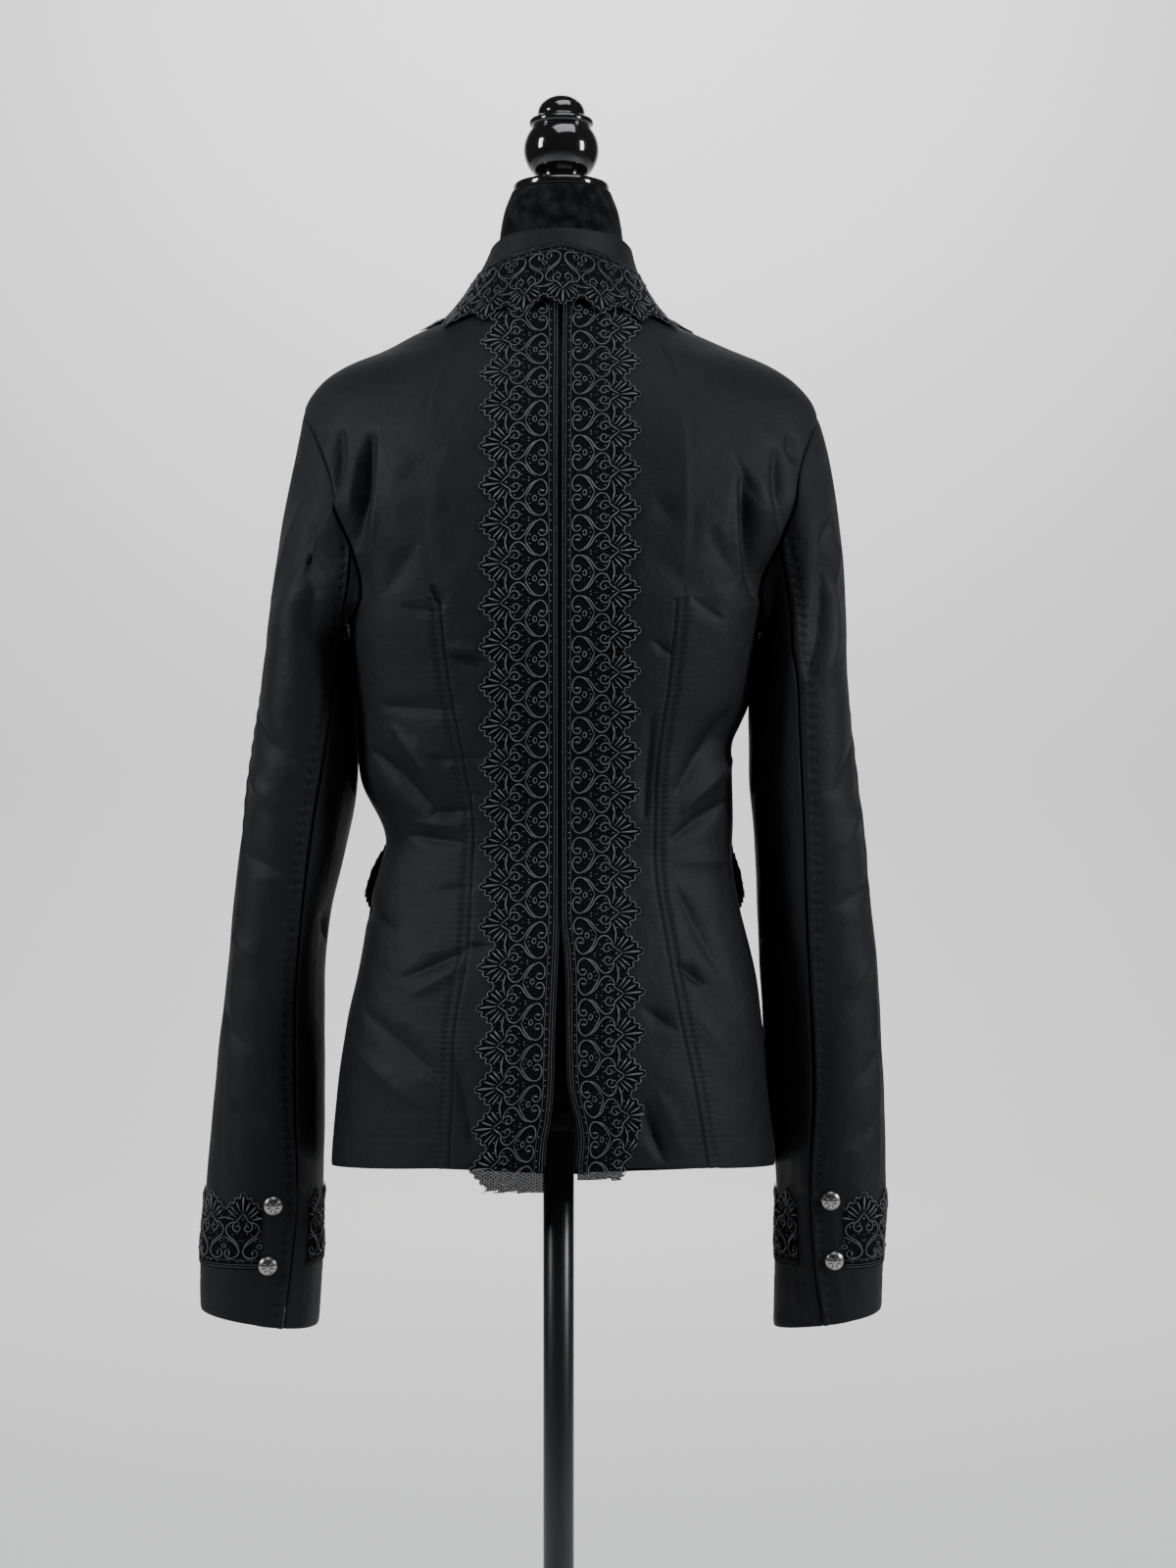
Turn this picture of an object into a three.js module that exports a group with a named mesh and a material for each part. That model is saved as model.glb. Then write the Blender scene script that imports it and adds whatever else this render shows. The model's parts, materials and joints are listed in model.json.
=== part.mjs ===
// A lace-trimmed blazer worn by a velvet dress form on a pole stand. Millimetres, +Z up.
// The back of the blazer faces -Y, the wearer's right is +X, and the pole stands on the origin.
import * as THREE from 'three';

// ---- driving sizes
const CLOTH = 1.5;
const LACE = 1;
const SEAM = 0.35;
const LIFT = 0.4;
const CENTRE = 2;
const NECKLINE = 1206;
const PITCH = 28;
const LACE_WIDTH = 56;
const LACE_CUSP = 43;
const BUTTON_RADIUS = 6.8;
const BUTTON_HEIGHT = 4.6;
const POLE_RADIUS = 11.35;
const BASE_RADIUS = 150;
const BASE_TOP = 30;
const FORM_BOTTOM = 612;
const BREAK = 930;
const FLARE = { left: 0.16, right: 0.34 };
const LAP = 18;
const UNDER = 5.4;

function table(columns, ...rows) {
  return rows.map((row) => Object.fromEntries(columns.map((name, i) => [name, row[i]])));
}

// Widths of the blazer's body to the left and right of the pole.
const WIDTH = table(['height', 'left', 'right'],
  [550, 166, 160], [581, 166, 158.5], [639, 160.6, 153], [682, 154.8, 148.5], [711, 148, 145],
  [740, 142.6, 139], [769, 138, 132.5], [797, 130, 127.6], [812, 126.5, 127.4], [826, 129.6, 128],
  [855, 142, 127.6], [884, 146, 127.6], [898, 147, 132], [927, 150, 140], [960, 151.5, 144.5],
  [985, 152, 148], [1005, 156, 153], [1030, 167, 167], [1051, 178, 178], [1078, 185, 187],
  [1107, 188, 191], [1131, 186, 188], [1149, 173.5, 174], [1161, 155, 155], [1172, 129, 129],
  [1184, 105, 101], [1198, 70, 69], [1206, 55, 57]);
const DEPTH = table(['height', 'back', 'front', 'square'],
  [550, 111, 114, 2.4], [639, 114, 117, 2.4], [711, 106, 113, 2.4], [769, 95, 105, 2.35],
  [812, 90, 101, 2.3], [860, 93, 108, 2.4], [927, 102, 124, 2.7], [985, 108, 122, 3.2],
  [1051, 106, 108, 3.1], [1078, 103.5, 102, 2.5], [1107, 99, 96, 2.1], [1131, 92, 86, 1.9],
  [1161, 78, 72, 1.8], [1184, 67, 62, 1.8], [1206, 57, 54, 2]);
// The armhole as a loop round the shoulder: 0 is its top, 90 its back, 180 the underarm.
const ARMHOLE = table(['loop', 'turn', 'height'],
  [0, 90, 1131], [22, 80, 1112], [45, 71.5, 1084], [68, 66.5, 1056], [90, 63.5, 1022],
  [112, 62.8, 996], [135, 66, 981], [158, 76, 973], [180, 90, 971], [202, 104, 973],
  [225, 113, 981], [248, 117, 997], [270, 117, 1022], [292, 114, 1056], [315, 109, 1086],
  [338, 100, 1113], [360, 90, 1131]);
// The long back darts, and the open vent below the waist.
const DART = table(['height', 'left', 'right'],
  [550, -77, 112], [591, -75.5, 105.5], [646, -73, 96], [690, -71, 87], [740, -62.5, 77.5],
  [791, -60, 69], [828, -59, 68.4], [876, -66.5, 71], [924, -75.4, 78], [980, -81.5, 83.5],
  [1080, -84, 86], [1160, -72, 72], [1206, -42, 44]);
const VENT = table(['height', 'left', 'right'],
  [550, -6, 14], [600, -5.6, 13], [634, -2.4, 6.4], [680, -1.2, 5.4], [725, 1, 3.2],
  [763, 1.75, 2.25], [1206, 1.75, 2.25]);
const HEM = table(['turn', 'height'],
  [0, 590], [45, 586], [90, 577], [135, 562], [180, 557], [215, 557]);
// Sleeve rings below the armhole: outer and inner reach from the pole, half depth and its centre.
const LEFT_SLEEVE = table(['height', 'outer', 'inner', 'depth', 'middle', 'seam'],
  [455, 265, 178, 42, 18, 0.745], [510, 264.5, 175, 43.5, 17.5, 0.79], [563, 260.3, 175, 46, 17, 0.83],
  [634, 253.5, 173, 50, 15, 0.785], [711, 245, 173, 54, 12, 0.78], [760, 239.5, 168.5, 57, 9, 0.78],
  [812, 233, 157, 60, 6, 0.72], [855, 227, 150.6, 62, 4, 0.73], [894, 221.5, 151.6, 64.5, 2, 0.8],
  [927, 217, 154.4, 66, 0, 0.87], [955, 213, 156, 66, -2, 0.93]);
const RIGHT_SLEEVE = table(['height', 'outer', 'inner', 'depth', 'middle', 'seam'],
  [455, 236.2, 159, 41, 18, 0.57], [510, 238.4, 160, 43, 17.5, 0.68], [563, 240, 162.5, 46, 17, 0.75],
  [634, 238, 155.5, 50, 15, 0.7], [711, 233, 150.2, 54, 12, 0.655], [760, 229, 146.6, 57, 9, 0.64],
  [812, 223, 144.6, 60, 6, 0.63], [855, 218, 140.2, 62, 4, 0.61], [894, 214, 140, 64.5, 2, 0.61],
  [927, 212, 145.6, 66, 0, 0.65], [955, 210.5, 149.4, 66, -2, 0.7]);
// Collar stations from the centre back (0) to the front: radius and height of fold and middle.
const COLLAR = table(['turn', 'fold', 'top', 'mid', 'mean', 'edge', 'clear'],
  [0, 54, 1252, 60.5, 1227, 1203, 9], [45, 53.5, 1250, 62, 1222, 1193, 8],
  [70, 53, 1246, 63, 1219, 1189, 6], [90, 52.5, 1242, 64, 1217, 1186, 4],
  [110, 52.5, 1234, 67, 1206, 1176, 3.5], [125, 55, 1219, 74, 1190, 1160, 3.5],
  [140, 62, 1199, 83.5, 1170, 1142, 3.5]);
const LAPEL_EDGE = table(['height', 'reach'],
  [934, -14], [965, 30], [1020, 66], [1080, 88], [1118, 98]);
const FORM = table(['height', 'half', 'back', 'front', 'square'],
  [612, 135, 92, 92, 2.3], [622, 141, 99, 99, 2.3], [660, 141, 100, 102, 2.3],
  [711, 132, 94, 99, 2.3], [769, 118, 83, 92, 2.25], [812, 110, 79, 87, 2.2],
  [860, 112, 81, 94, 2.3], [927, 124, 89, 106, 2.4], [985, 133, 95, 106, 2.7],
  [1051, 146, 93, 91, 2.5], [1090, 150, 87, 81, 2.1], [1120, 150, 80, 73, 1.8], [1142, 146, 74, 67, 1.7],
  [1158, 138, 69, 63, 1.7], [1172, 120.5, 65, 60, 1.75], [1184, 93.7, 60.5, 56, 1.75],
  [1197, 64, 53, 51.5, 1.8], [1206, 49, 48, 48, 2], [1225, 46, 45.5, 46, 2], [1252, 45.5, 45.5, 45.5, 2],
  [1274, 42, 42, 42, 2], [1288.5, 36.5, 36.5, 36.5, 2]);
// The largest folds of the cloth: from and to in width and height, spread, and depth (in is minus).
const FOLDS = table(['x1', 'z1', 'x2', 'z2', 'spread', 'depth'],
  [-150, 1120, -143, 1030, 13, -4.5], [160, 1108, 146, 1000, 13, -4.5],
  [-138, 880, -95, 812, 15, -3.5], [112, 900, 92, 806, 17, -4], [-122, 690, -92, 655, 16, 3],
  [128, 735, 96, 700, 16, 3]);

// ---- reading a table smoothly
function read(rows, column, where) {
  const key = Object.keys(rows[0])[0];
  const last = rows.length - 1;
  let i = 0;
  while (i < last - 1 && where > rows[i + 1][key]) i += 1;
  const slope = (k) => {
    const a = rows[Math.max(k - 1, 0)];
    const b = rows[Math.min(k + 1, last)];
    return (b[column] - a[column]) / (b[key] - a[key]);
  };
  const span = rows[i + 1][key] - rows[i][key];
  const t = Math.min(Math.max((where - rows[i][key]) / span, 0), 1);
  const rise = t * t * (3 - 2 * t);
  return rows[i][column] * (1 - rise) + rows[i + 1][column] * rise
    + span * (t * (1 - t) ** 2 * slope(i) - t * t * (1 - t) * slope(i + 1));
}

const ease = (t) => {
  const c = Math.min(Math.max(t, 0), 1);
  return c * c * (3 - 2 * c);
};
const mix = (a, b, t) => a + (b - a) * t;
const rad = (degrees) => degrees * Math.PI / 180;
const steps = (from, to, count) => Array.from({ length: count + 1 }, (_, i) => mix(from, to, i / count));

// Radius of a rounded-square ring in a direction given by its sine and cosine.
function ringRadius(wide, deep, square, s, c) {
  return (Math.abs(s / wide) ** square + Math.abs(c / deep) ** square) ** (-1 / square);
}

// ---- the blazer's body, by turn (0 centre back, 90 wearer's right side) and height
function bodyHalf(height, right) {
  return read(WIDTH, right ? 'right' : 'left', height) + (right ? -CENTRE : CENTRE);
}

function bodyBase(turn, height) {
  const s = Math.sin(rad(turn));
  const c = Math.cos(rad(turn));
  const deep = read(DEPTH, c > 0 ? 'back' : 'front', height);
  const r = ringRadius(bodyHalf(height, s > 0), deep, read(DEPTH, 'square', height), s, c);
  return new THREE.Vector3(CENTRE + r * s, -r * c, height);
}

function foldDepth(x, height) {
  let total = 0;
  for (const f of FOLDS) {
    const dx = f.x2 - f.x1;
    const dz = f.z2 - f.z1;
    const t = ((x - f.x1) * dx + (height - f.z1) * dz) / (dx * dx + dz * dz);
    const k = Math.min(Math.max(t, 0), 1);
    const off = Math.hypot(x - f.x1 - dx * k, height - f.z1 - dz * k) / f.spread;
    total += f.depth * Math.exp(-off * off);
  }
  return total;
}

function normalOf(surface, u, v, du, dv) {
  const across = surface(u + du, v).sub(surface(u - du, v));
  const up = surface(u, v + dv).sub(surface(u, v - dv));
  return across.cross(up).normalize();
}

function body(turn, height, out = 0) {
  const p = bodyBase(turn, height);
  const n = normalOf(bodyBase, turn, height, 0.5, 0.8);
  const shown = Math.cos(rad(turn)) > 0 ? foldDepth(p.x, height) : 0;
  return p.addScaledVector(n, shown + out);
}

function turnAt(x, height, front) {
  const wide = bodyHalf(height, x > CENTRE);
  const n = read(DEPTH, 'square', height);
  const deep = read(DEPTH, front ? 'front' : 'back', height);
  const y = deep * (1 - Math.min(Math.abs(x - CENTRE) / wide, 1) ** n) ** (1 / n);
  const turn = Math.atan2(x - CENTRE, y) * 180 / Math.PI;
  return front ? 180 - turn : turn;
}

// ---- solids from points
const group = new THREE.Group();
group.name = 'lace_trimmed_blazer';
const LOOKS = {
  sateen: [0x121114, 0.5, 0],
  lace: [0x0c0b0d, 0.75, 0],
  velvet: [0x070707, 0.95, 0],
  wood: [0x0a0908, 0.18, 0],
  pole: [0x0b0b0c, 0.35, 0.1],
  silver: [0x8f8b84, 0.38, 0.9],
};

function add(name, look, points, faces) {
  let volume = 0;
  for (const [a, b, c] of faces) {
    volume += points[a].dot(points[b].clone().cross(points[c]));
  }
  const index = volume > 0 ? faces.flat() : faces.map(([a, b, c]) => [a, c, b]).flat();
  const geometry = new THREE.BufferGeometry();
  geometry.setAttribute('position',
    new THREE.Float32BufferAttribute(points.flatMap((p) => [p.x, p.y, p.z]), 3));
  geometry.setIndex(index);
  geometry.computeVertexNormals();
  const [color, roughness, metalness] = LOOKS[look];
  const mesh = new THREE.Mesh(geometry, new THREE.MeshStandardMaterial({ color, roughness, metalness }));
  mesh.name = name;
  group.add(mesh);
}

// A wall with two faces: at(i, j, face) gives the point of column i and row j.
function wall(name, look, columns, rows, at) {
  const points = [];
  const faces = [];
  const index = (i, j, face) => (j * (columns + 1) + i) * 2 + face;
  for (let j = 0; j <= rows; j += 1) {
    for (let i = 0; i <= columns; i += 1) points.push(at(i, j, 0), at(i, j, 1));
  }
  const quad = (a, b, c, d) => faces.push([a, b, c], [a, c, d]);
  for (let j = 0; j < rows; j += 1) {
    for (let i = 0; i < columns; i += 1) {
      quad(index(i, j, 0), index(i + 1, j, 0), index(i + 1, j + 1, 0), index(i, j + 1, 0));
      quad(index(i, j, 1), index(i, j + 1, 1), index(i + 1, j + 1, 1), index(i + 1, j, 1));
    }
  }
  for (let i = 0; i < columns; i += 1) {
    quad(index(i, 0, 1), index(i + 1, 0, 1), index(i + 1, 0, 0), index(i, 0, 0));
    quad(index(i, rows, 0), index(i + 1, rows, 0), index(i + 1, rows, 1), index(i, rows, 1));
  }
  for (let j = 0; j < rows; j += 1) {
    quad(index(0, j, 0), index(0, j + 1, 0), index(0, j + 1, 1), index(0, j, 1));
    quad(index(columns, j, 1), index(columns, j + 1, 1), index(columns, j + 1, 0), index(columns, j, 0));
  }
  add(name, look, points, faces);
}

// Rings closed at both ends by a point.
function closed(name, look, count, rings, at) {
  const points = [];
  const faces = [];
  for (let j = 0; j < rings; j += 1) {
    for (let i = 0; i < count; i += 1) points.push(at(i, j));
  }
  for (let j = 0; j < rings - 1; j += 1) {
    for (let i = 0; i < count; i += 1) {
      const k = (i + 1) % count;
      faces.push([j * count + i, j * count + k, (j + 1) * count + k]);
      faces.push([j * count + i, (j + 1) * count + k, (j + 1) * count + i]);
    }
  }
  for (const [j, flip] of [[0, true], [rings - 1, false]]) {
    const middle = new THREE.Vector3();
    for (let i = 0; i < count; i += 1) middle.addScaledVector(points[j * count + i], 1 / count);
    points.push(middle);
    for (let i = 0; i < count; i += 1) {
      const a = j * count + i;
      const b = j * count + (i + 1) % count;
      faces.push(flip ? [a, points.length - 1, b] : [a, b, points.length - 1]);
    }
  }
  add(name, look, points, faces);
}

// A turned solid on its own axis, from radius and height pairs.
function turned(name, look, count, profile, place = (p) => p) {
  closed(name, look, count, profile.length, (i, j) => {
    const a = 2 * Math.PI * i / count;
    const [r, z] = profile[j];
    return place(new THREE.Vector3(r * Math.cos(a), r * Math.sin(a), z));
  });
}

// ---- back panels: columns follow the centre, the dart and the side or armhole
const LOOP = steps(0, 180, 8);
const LOW_ROWS = [590, 616, 644, 672, 700, 727, 752, 775, 795, 812, 829, 849, 874, 900, 927, 951,
  971];
const loopHeight = (loop, drop) => read(ARMHOLE, 'height', loop) - drop;
const loopTurn = (loop) => read(ARMHOLE, 'turn', loop);
const TOP_ROWS = [1141, 1151, 1161, 1173, 1188, NECKLINE];

function panelRows(drop, front) {
  const low = LOW_ROWS.map((height) => ({ low: (height - 590) / (971 - 590) }));
  const loops = front ? LOOP.map((loop) => 360 - loop) : LOOP;
  const side = loops.slice(0, -1).reverse()
    .map((loop) => ({ height: loopHeight(loop, drop), edge: loopTurn(loop) }));
  const top = TOP_ROWS.map((height) => ({ height, edge: 90 }));
  return [...low, ...side, ...top];
}

// Columns beyond a guide turn close up toward the armhole; those before it keep their places.
function outward(from, guide, edge, i, count) {
  return i <= count ? mix(from, guide, i / count) : mix(guide, edge, (i - count) / (5 - count));
}

function backPanel(name, sign) {
  const right = sign > 0;
  const drop = right ? 5 : 0;
  const side = right ? 'right' : 'left';
  const rows = panelRows(drop, false);
  const under = loopHeight(180, drop);
  wall(name, 'sateen', 10, rows.length - 1, (i, j, face) => {
    const row = rows[j];
    const edge = row.edge ?? 90;
    const guide = row.height ?? mix(590, under, row.low);
    const dart = read(DART, side, guide);
    const start = read(VENT, side, guide);
    const spots = [start, sign * 20, sign * 40, dart - sign * 6, dart, dart + sign * 6];
    if (Math.abs(dart) < 52) {
      for (let k = 1; k < 6; k += 1) spots[k] = mix(start, dart + sign * 6, k / 5);
    }
    const inner = Math.abs(turnAt(spots[5], guide, false));
    let turn = i < 6 ? turnAt(spots[i], guide, false) : sign * outward(inner, 57, edge, i - 5, 2);
    if (i === 10) turn -= sign * SEAM / 2.6;
    const height = row.height ?? mix(read(HEM, 'height', Math.abs(turn)), under, row.low);
    const groove = i === 4 && height < 984 ? -0.9 : 0;
    return body(turn, height, groove - face * CLOTH);
  });
}
backPanel('back_left', -1);
backPanel('back_right', 1);

// ---- front panels: the right one laps over the left
const rollRise = (height) => Math.max((height - BREAK) / (1198 - BREAK), 0);
const rollRight = (height) => mix(-LAP, 46, rollRise(height));
const rollLeft = (height) => mix(LAP + 4, -42, rollRise(height));

function underLap(x) {
  return -UNDER * ease((x + 62) / 40);
}

function front(sign, x, height, out) {
  const turn = turnAt(x, height, true);
  const away = sign < 0 ? underLap(x) : 0;
  return body(turn, height, out + away);
}

function frontPanel(name, sign) {
  const drop = sign > 0 ? 5 : 0;
  const rows = panelRows(drop, true);
  const under = loopHeight(180, drop);
  wall(name, 'sateen', 8, rows.length - 1, (i, j, face) => {
    const row = rows[j];
    const guide = row.height ?? mix(557, under, row.low);
    const roll = sign > 0 ? rollRight(guide) : rollLeft(guide);
    const far = sign > 0 ? turnAt(roll, guide, true) : 360 - turnAt(roll, guide, true);
    const edge = row.edge ?? 90;
    const start = i === 0 ? SEAM / 2.6 : 0;
    const ring = start + (i < 3 ? mix(edge, 122, i / 3) : mix(122, far, (i - 3) / 5));
    const height = row.height ?? mix(read(HEM, 'height', ring), under, row.low);
    const x = bodyBase(sign * ring, height).x;
    const away = sign < 0 ? underLap(x) : 0;
    return body(sign * ring, height, away - face * CLOTH);
  });
}
frontPanel('front_left', -1);
frontPanel('front_right', 1);

// ---- lapels: turned back over each front
function lapel(name, sign) {
  wall(name, 'sateen', 5, 12, (i, j, face) => {
    const t = j / 12;
    const inner = mix(1172, BREAK + 6, t);
    const outer = mix(1102, BREAK + 6, t);
    const roll = (sign > 0 ? rollRight(inner) : rollLeft(inner)) + sign * 0.6;
    const tip = sign * read(LAPEL_EDGE, 'reach', outer) + (sign < 0 ? 4 : 0);
    const height = mix(inner, outer, i / 5);
    const stop = sign > 0 ? Math.max(tip, roll + 3) : Math.min(tip, roll - 3);
    return front(sign, mix(roll, stop, i / 5), height, 1.4 + (1 - face) * CLOTH);
  });
}
lapel('lapel_left', -1);
lapel('lapel_right', 1);

// ---- sleeves
function sleeveRing(rows, sign, angle, height) {
  const outer = read(rows, 'outer', height);
  const inner = read(rows, 'inner', height);
  const c = Math.cos(rad(angle));
  const s = Math.sin(rad(angle));
  const r = ringRadius((outer - inner) / 2, read(rows, 'depth', height), 2.3, c, s);
  const x = sign * ((outer + inner) / 2 + r * c);
  return new THREE.Vector3(x, read(rows, 'middle', height) - r * s, height);
}

// Angle of the back seam, a share of the way from the sleeve's outer to its inner side.
function backAngle(rings, height) {
  const half = (read(rings, 'outer', height) - read(rings, 'inner', height)) / 2;
  const u = 1 - 2 * read(rings, 'seam', height);
  const y = read(rings, 'depth', height) * (1 - Math.abs(u) ** 2.3) ** (1 / 2.3);
  return Math.atan2(y, half * u) * 180 / Math.PI;
}

function sleeve(side) {
  const sign = side === 'left' ? -1 : 1;
  const rings = side === 'left' ? LEFT_SLEEVE : RIGHT_SLEEVE;
  const drop = side === 'left' ? 0 : 5;
  const TOP = 955;
  const CAP = 5;
  const LENGTH = 12;
  const FRONT = -112.5;
  const base = (angle, v) => {
    if (v >= CAP) {
      return sleeveRing(rings, sign, angle, TOP - (v - CAP) * (TOP - 455) / LENGTH);
    }
    const loop = (angle + 360) % 360;
    const foot = bodyBase(sign * loopTurn(loop), loopHeight(loop, drop));
    const c = Math.cos(rad(angle));
    const s = Math.sin(rad(angle));
    const low = (1 - c) / 2;
    const lead = new THREE.Vector3(sign * mix(FLARE[side], 1, low), -0.3 * s, mix(-0.94, 0, low ** 1.4));
    const end = sleeveRing(rings, sign, angle, TOP);
    const run = foot.distanceTo(end) * 0.9;
    const t = v / CAP;
    const rise = t * t * (3 - 2 * t);
    foot.addScaledVector(lead, 0.6 + 0.5 * low);
    return foot.lerp(end, rise)
      .addScaledVector(lead, run * t * (1 - t) ** 2)
      .add(new THREE.Vector3(0, 0, run * t * t * (1 - t)));
  };
  const skin = (angle, v, out) => {
    const p = base(angle, v);
    const near = Math.max(v, 0.02);
    const n = normalOf(base, angle, near, 0.5, near < 0.05 ? 0.02 : 0.05).multiplyScalar(sign);
    return p.addScaledVector(n, out);
  };
  const seamAngle = (v) => {
    if (v <= CAP) return mix(90, backAngle(rings, TOP), ease(v / CAP));
    return backAngle(rings, TOP - (v - CAP) * (TOP - 455) / LENGTH);
  };
  const rowsTotal = CAP + LENGTH;
  const hem = (angle) => 455 + 14 * (0.5 + 0.5 * Math.cos(rad(angle)));
  const heightRow = (j, angle) => {
    if (j < rowsTotal) return j;
    return CAP + (TOP - hem(angle)) * LENGTH / (TOP - 455);
  };
  const gap = (v) => (v < CAP ? 0.7 : 0.3);
  const upper = (i, j, face, shift = 0) => {
    const angle = mix(FRONT + gap(j), seamAngle(j) - gap(j), i / 9);
    return skin(angle, heightRow(j, angle) + shift, -face * CLOTH);
  };
  const under = (i, j, face) => {
    const angle = mix(seamAngle(j) + gap(j), 360 + FRONT - gap(j), i / 7);
    return skin(angle, heightRow(j, angle), -face * CLOTH);
  };
  // The upper piece is two solids, cap and arm, so that each bends round less.
  wall(`sleeve_cap_${side}`, 'sateen', 9, CAP, (i, j, face) => upper(i, j, face, j === CAP ? -0.006 : 0));
  wall(`sleeve_upper_${side}`, 'sateen', 9, LENGTH,
    (i, j, face) => upper(i, j + CAP, face, j === 0 ? 0.006 : 0));
  wall(`sleeve_under_${side}`, 'sateen', 7, rowsTotal, under);
  return { skin, upper, under, rowAt: (height) => CAP + (TOP - height) * LENGTH / (TOP - 455) };
}

// A place on a panel between its own points, moved out.
function onPanel(panel, i, j, out) {
  const corner = (a, b) => {
    const outer = panel(a, b, 0);
    return outer.clone().addScaledVector(outer.clone().sub(panel(a, b, 1)).normalize(), out);
  };
  const a = Math.floor(i);
  const b = Math.floor(j);
  const low = corner(a, b).lerp(corner(Math.ceil(i), b), i - a);
  return low.lerp(corner(a, Math.ceil(j)).lerp(corner(Math.ceil(i), Math.ceil(j)), i - a), j - b);
}

const SLEEVES = { left: sleeve('left'), right: sleeve('right') };

// ---- collar
function collarPoint(turn, v) {
  const t = Math.abs(turn);
  const edgeHeight = read(COLLAR, 'edge', t);
  const s = Math.sin(rad(turn));
  const c = Math.cos(rad(turn));
  const deep = read(DEPTH, c > 0 ? 'back' : 'front', edgeHeight);
  const edge = ringRadius(bodyHalf(edgeHeight, s > 0), deep, read(DEPTH, 'square', edgeHeight), s, c)
    + read(COLLAR, 'clear', t);
  const full = (turn < 0 ? 3 : -2) * Math.sin(rad(Math.min(t, 140) * 180 / 140));
  const fold = read(COLLAR, 'fold', t);
  const mid = read(COLLAR, 'mid', t) + full;
  const a = (1 - v) * (1 - 2 * v);
  const b = 4 * v * (1 - v);
  const d = v * (2 * v - 1);
  const z = a * read(COLLAR, 'top', t) + b * read(COLLAR, 'mean', t) + d * edgeHeight;
  const below = bodyBase(turn, Math.min(z, NECKLINE));
  const slope = normalOf(bodyBase, turn, Math.min(z, NECKLINE - 1), 0.5, 0.8);
  const least = Math.hypot(below.x - CENTRE, below.y) + 2.6 / Math.max(slope.x * s - slope.y * c, 0.35);
  const r = Math.max(a * fold + b * mid + d * edge, z < NECKLINE ? least : 0);
  return new THREE.Vector3(CENTRE + r * s, -r * c, z);
}

function collar(turn, v, out) {
  const n = normalOf(collarPoint, turn, v, 0.5, -0.02);
  return collarPoint(turn, v).addScaledVector(n, out);
}

const COLLAR_END = 138;
wall('collar_fall', 'sateen', 30, 5, (i, j, face) => {
  const turn = mix(-COLLAR_END, COLLAR_END, i / 30);
  if (j === 0) {
    const lip = collarPoint(turn, 0);
    const inward = new THREE.Vector3(CENTRE - lip.x, -lip.y, 0).normalize();
    return lip.addScaledVector(inward, 2.6).add(new THREE.Vector3(0, 0, 1.4 - face * CLOTH));
  }
  return collar(turn, j / 5, -face * CLOTH);
});
wall('collar_stand', 'sateen', 22, 2, (i, j, face) => {
  const turn = mix(-115, 115, i / 22);
  const foot = bodyBase(turn, NECKLINE);
  const head = collarPoint(turn, 0);
  const inward = new THREE.Vector3(CENTRE - head.x, -head.y, 0).normalize();
  head.addScaledVector(inward, 2.4).add(new THREE.Vector3(0, 0, -1.7));
  foot.z += SEAM;
  const t = j / 2;
  return foot.lerp(head, t).addScaledVector(inward, face * CLOTH);
});

// ---- lace
// Reach of the scalloped edge at a place along the strip, in repeats; whole numbers are tips.
function scallop(k) {
  return Math.abs(k - Math.round(k)) > 0.4 ? LACE_CUSP : LACE_WIDTH;
}
const LACE_STEPS = [-0.5, -0.18, 0.18];

function laceHeight(k) {
  return k < 19 ? 585.3 + PITCH * k : 585.3 + PITCH * 19 + (PITCH - 3) * (k - 19);
}

function backLace(name, sign, bottom) {
  const side = sign > 0 ? 'right' : 'left';
  const places = [];
  for (let k = 0; k < 22; k += 1) places.push(...LACE_STEPS.map((s) => k + s));
  places.push(21.5, 21.9);
  const used = places.filter((k) => laceHeight(k) >= bottom);
  wall(name, 'lace', 3, used.length - 1, (i, j, face) => {
    const height = laceHeight(used[j]);
    const start = read(VENT, side, height) + sign * 0.8;
    let reach = CENTRE + sign * scallop(used[j]);
    if (sign > 0) reach = Math.min(reach, mix(37, 60, (height - 583) / 66));
    if (sign < 0 && height < 640) reach += (640 - height) * 0.03 * sign;
    const x = [start, sign * 20, sign * (reach * sign > 44 ? 40 : 34), reach][i];
    const clear = 0.1 + 2 * ease((height - 1170) / 14);
    return body(turnAt(x, height, false), height, LIFT + clear + (1 - face) * LACE);
  });
}
backLace('lace_back_left', -1, 571);
backLace('lace_back_right', 1, 585);

// The collar's lace keeps its pitch along the edge, with a tip at the centre back.
const edgeTurns = steps(0, COLLAR_END, 138);
const edgeLengths = edgeTurns.map((turn, i) => (i === 0 ? 0
  : collarPoint(turn, 0.86).distanceTo(collarPoint(edgeTurns[i - 1], 0.86))));
const edgeRun = edgeLengths.map((_, i) => edgeLengths.slice(0, i + 1).reduce((sum, part) => sum + part));
function edgeTurn(share) {
  const run = Math.abs(share) * edgeRun[edgeRun.length - 1];
  const i = Math.min(Math.max(edgeRun.findIndex((length) => length >= run), 1), edgeRun.length - 1);
  const t = (run - edgeRun[i - 1]) / (edgeRun[i] - edgeRun[i - 1]);
  return Math.sign(share) * mix(edgeTurns[i - 1], edgeTurns[i], t);
}

const REPEATS = 2 * Math.floor(edgeRun[edgeRun.length - 1] / PITCH) + 1;
wall('lace_collar', 'lace', 4 * REPEATS, 4, (i, j, face) => {
  const turn = edgeTurn(i / (2 * REPEATS) - 1);
  const v = [0.3, 0.52, 0.76, 1, [1.03, 1.12, 1.16][Math.abs((i + 2) % 4 - 2)]][j];
  return collar(turn, v, LIFT + 0.5 + (1 - face) * LACE);
});

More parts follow.
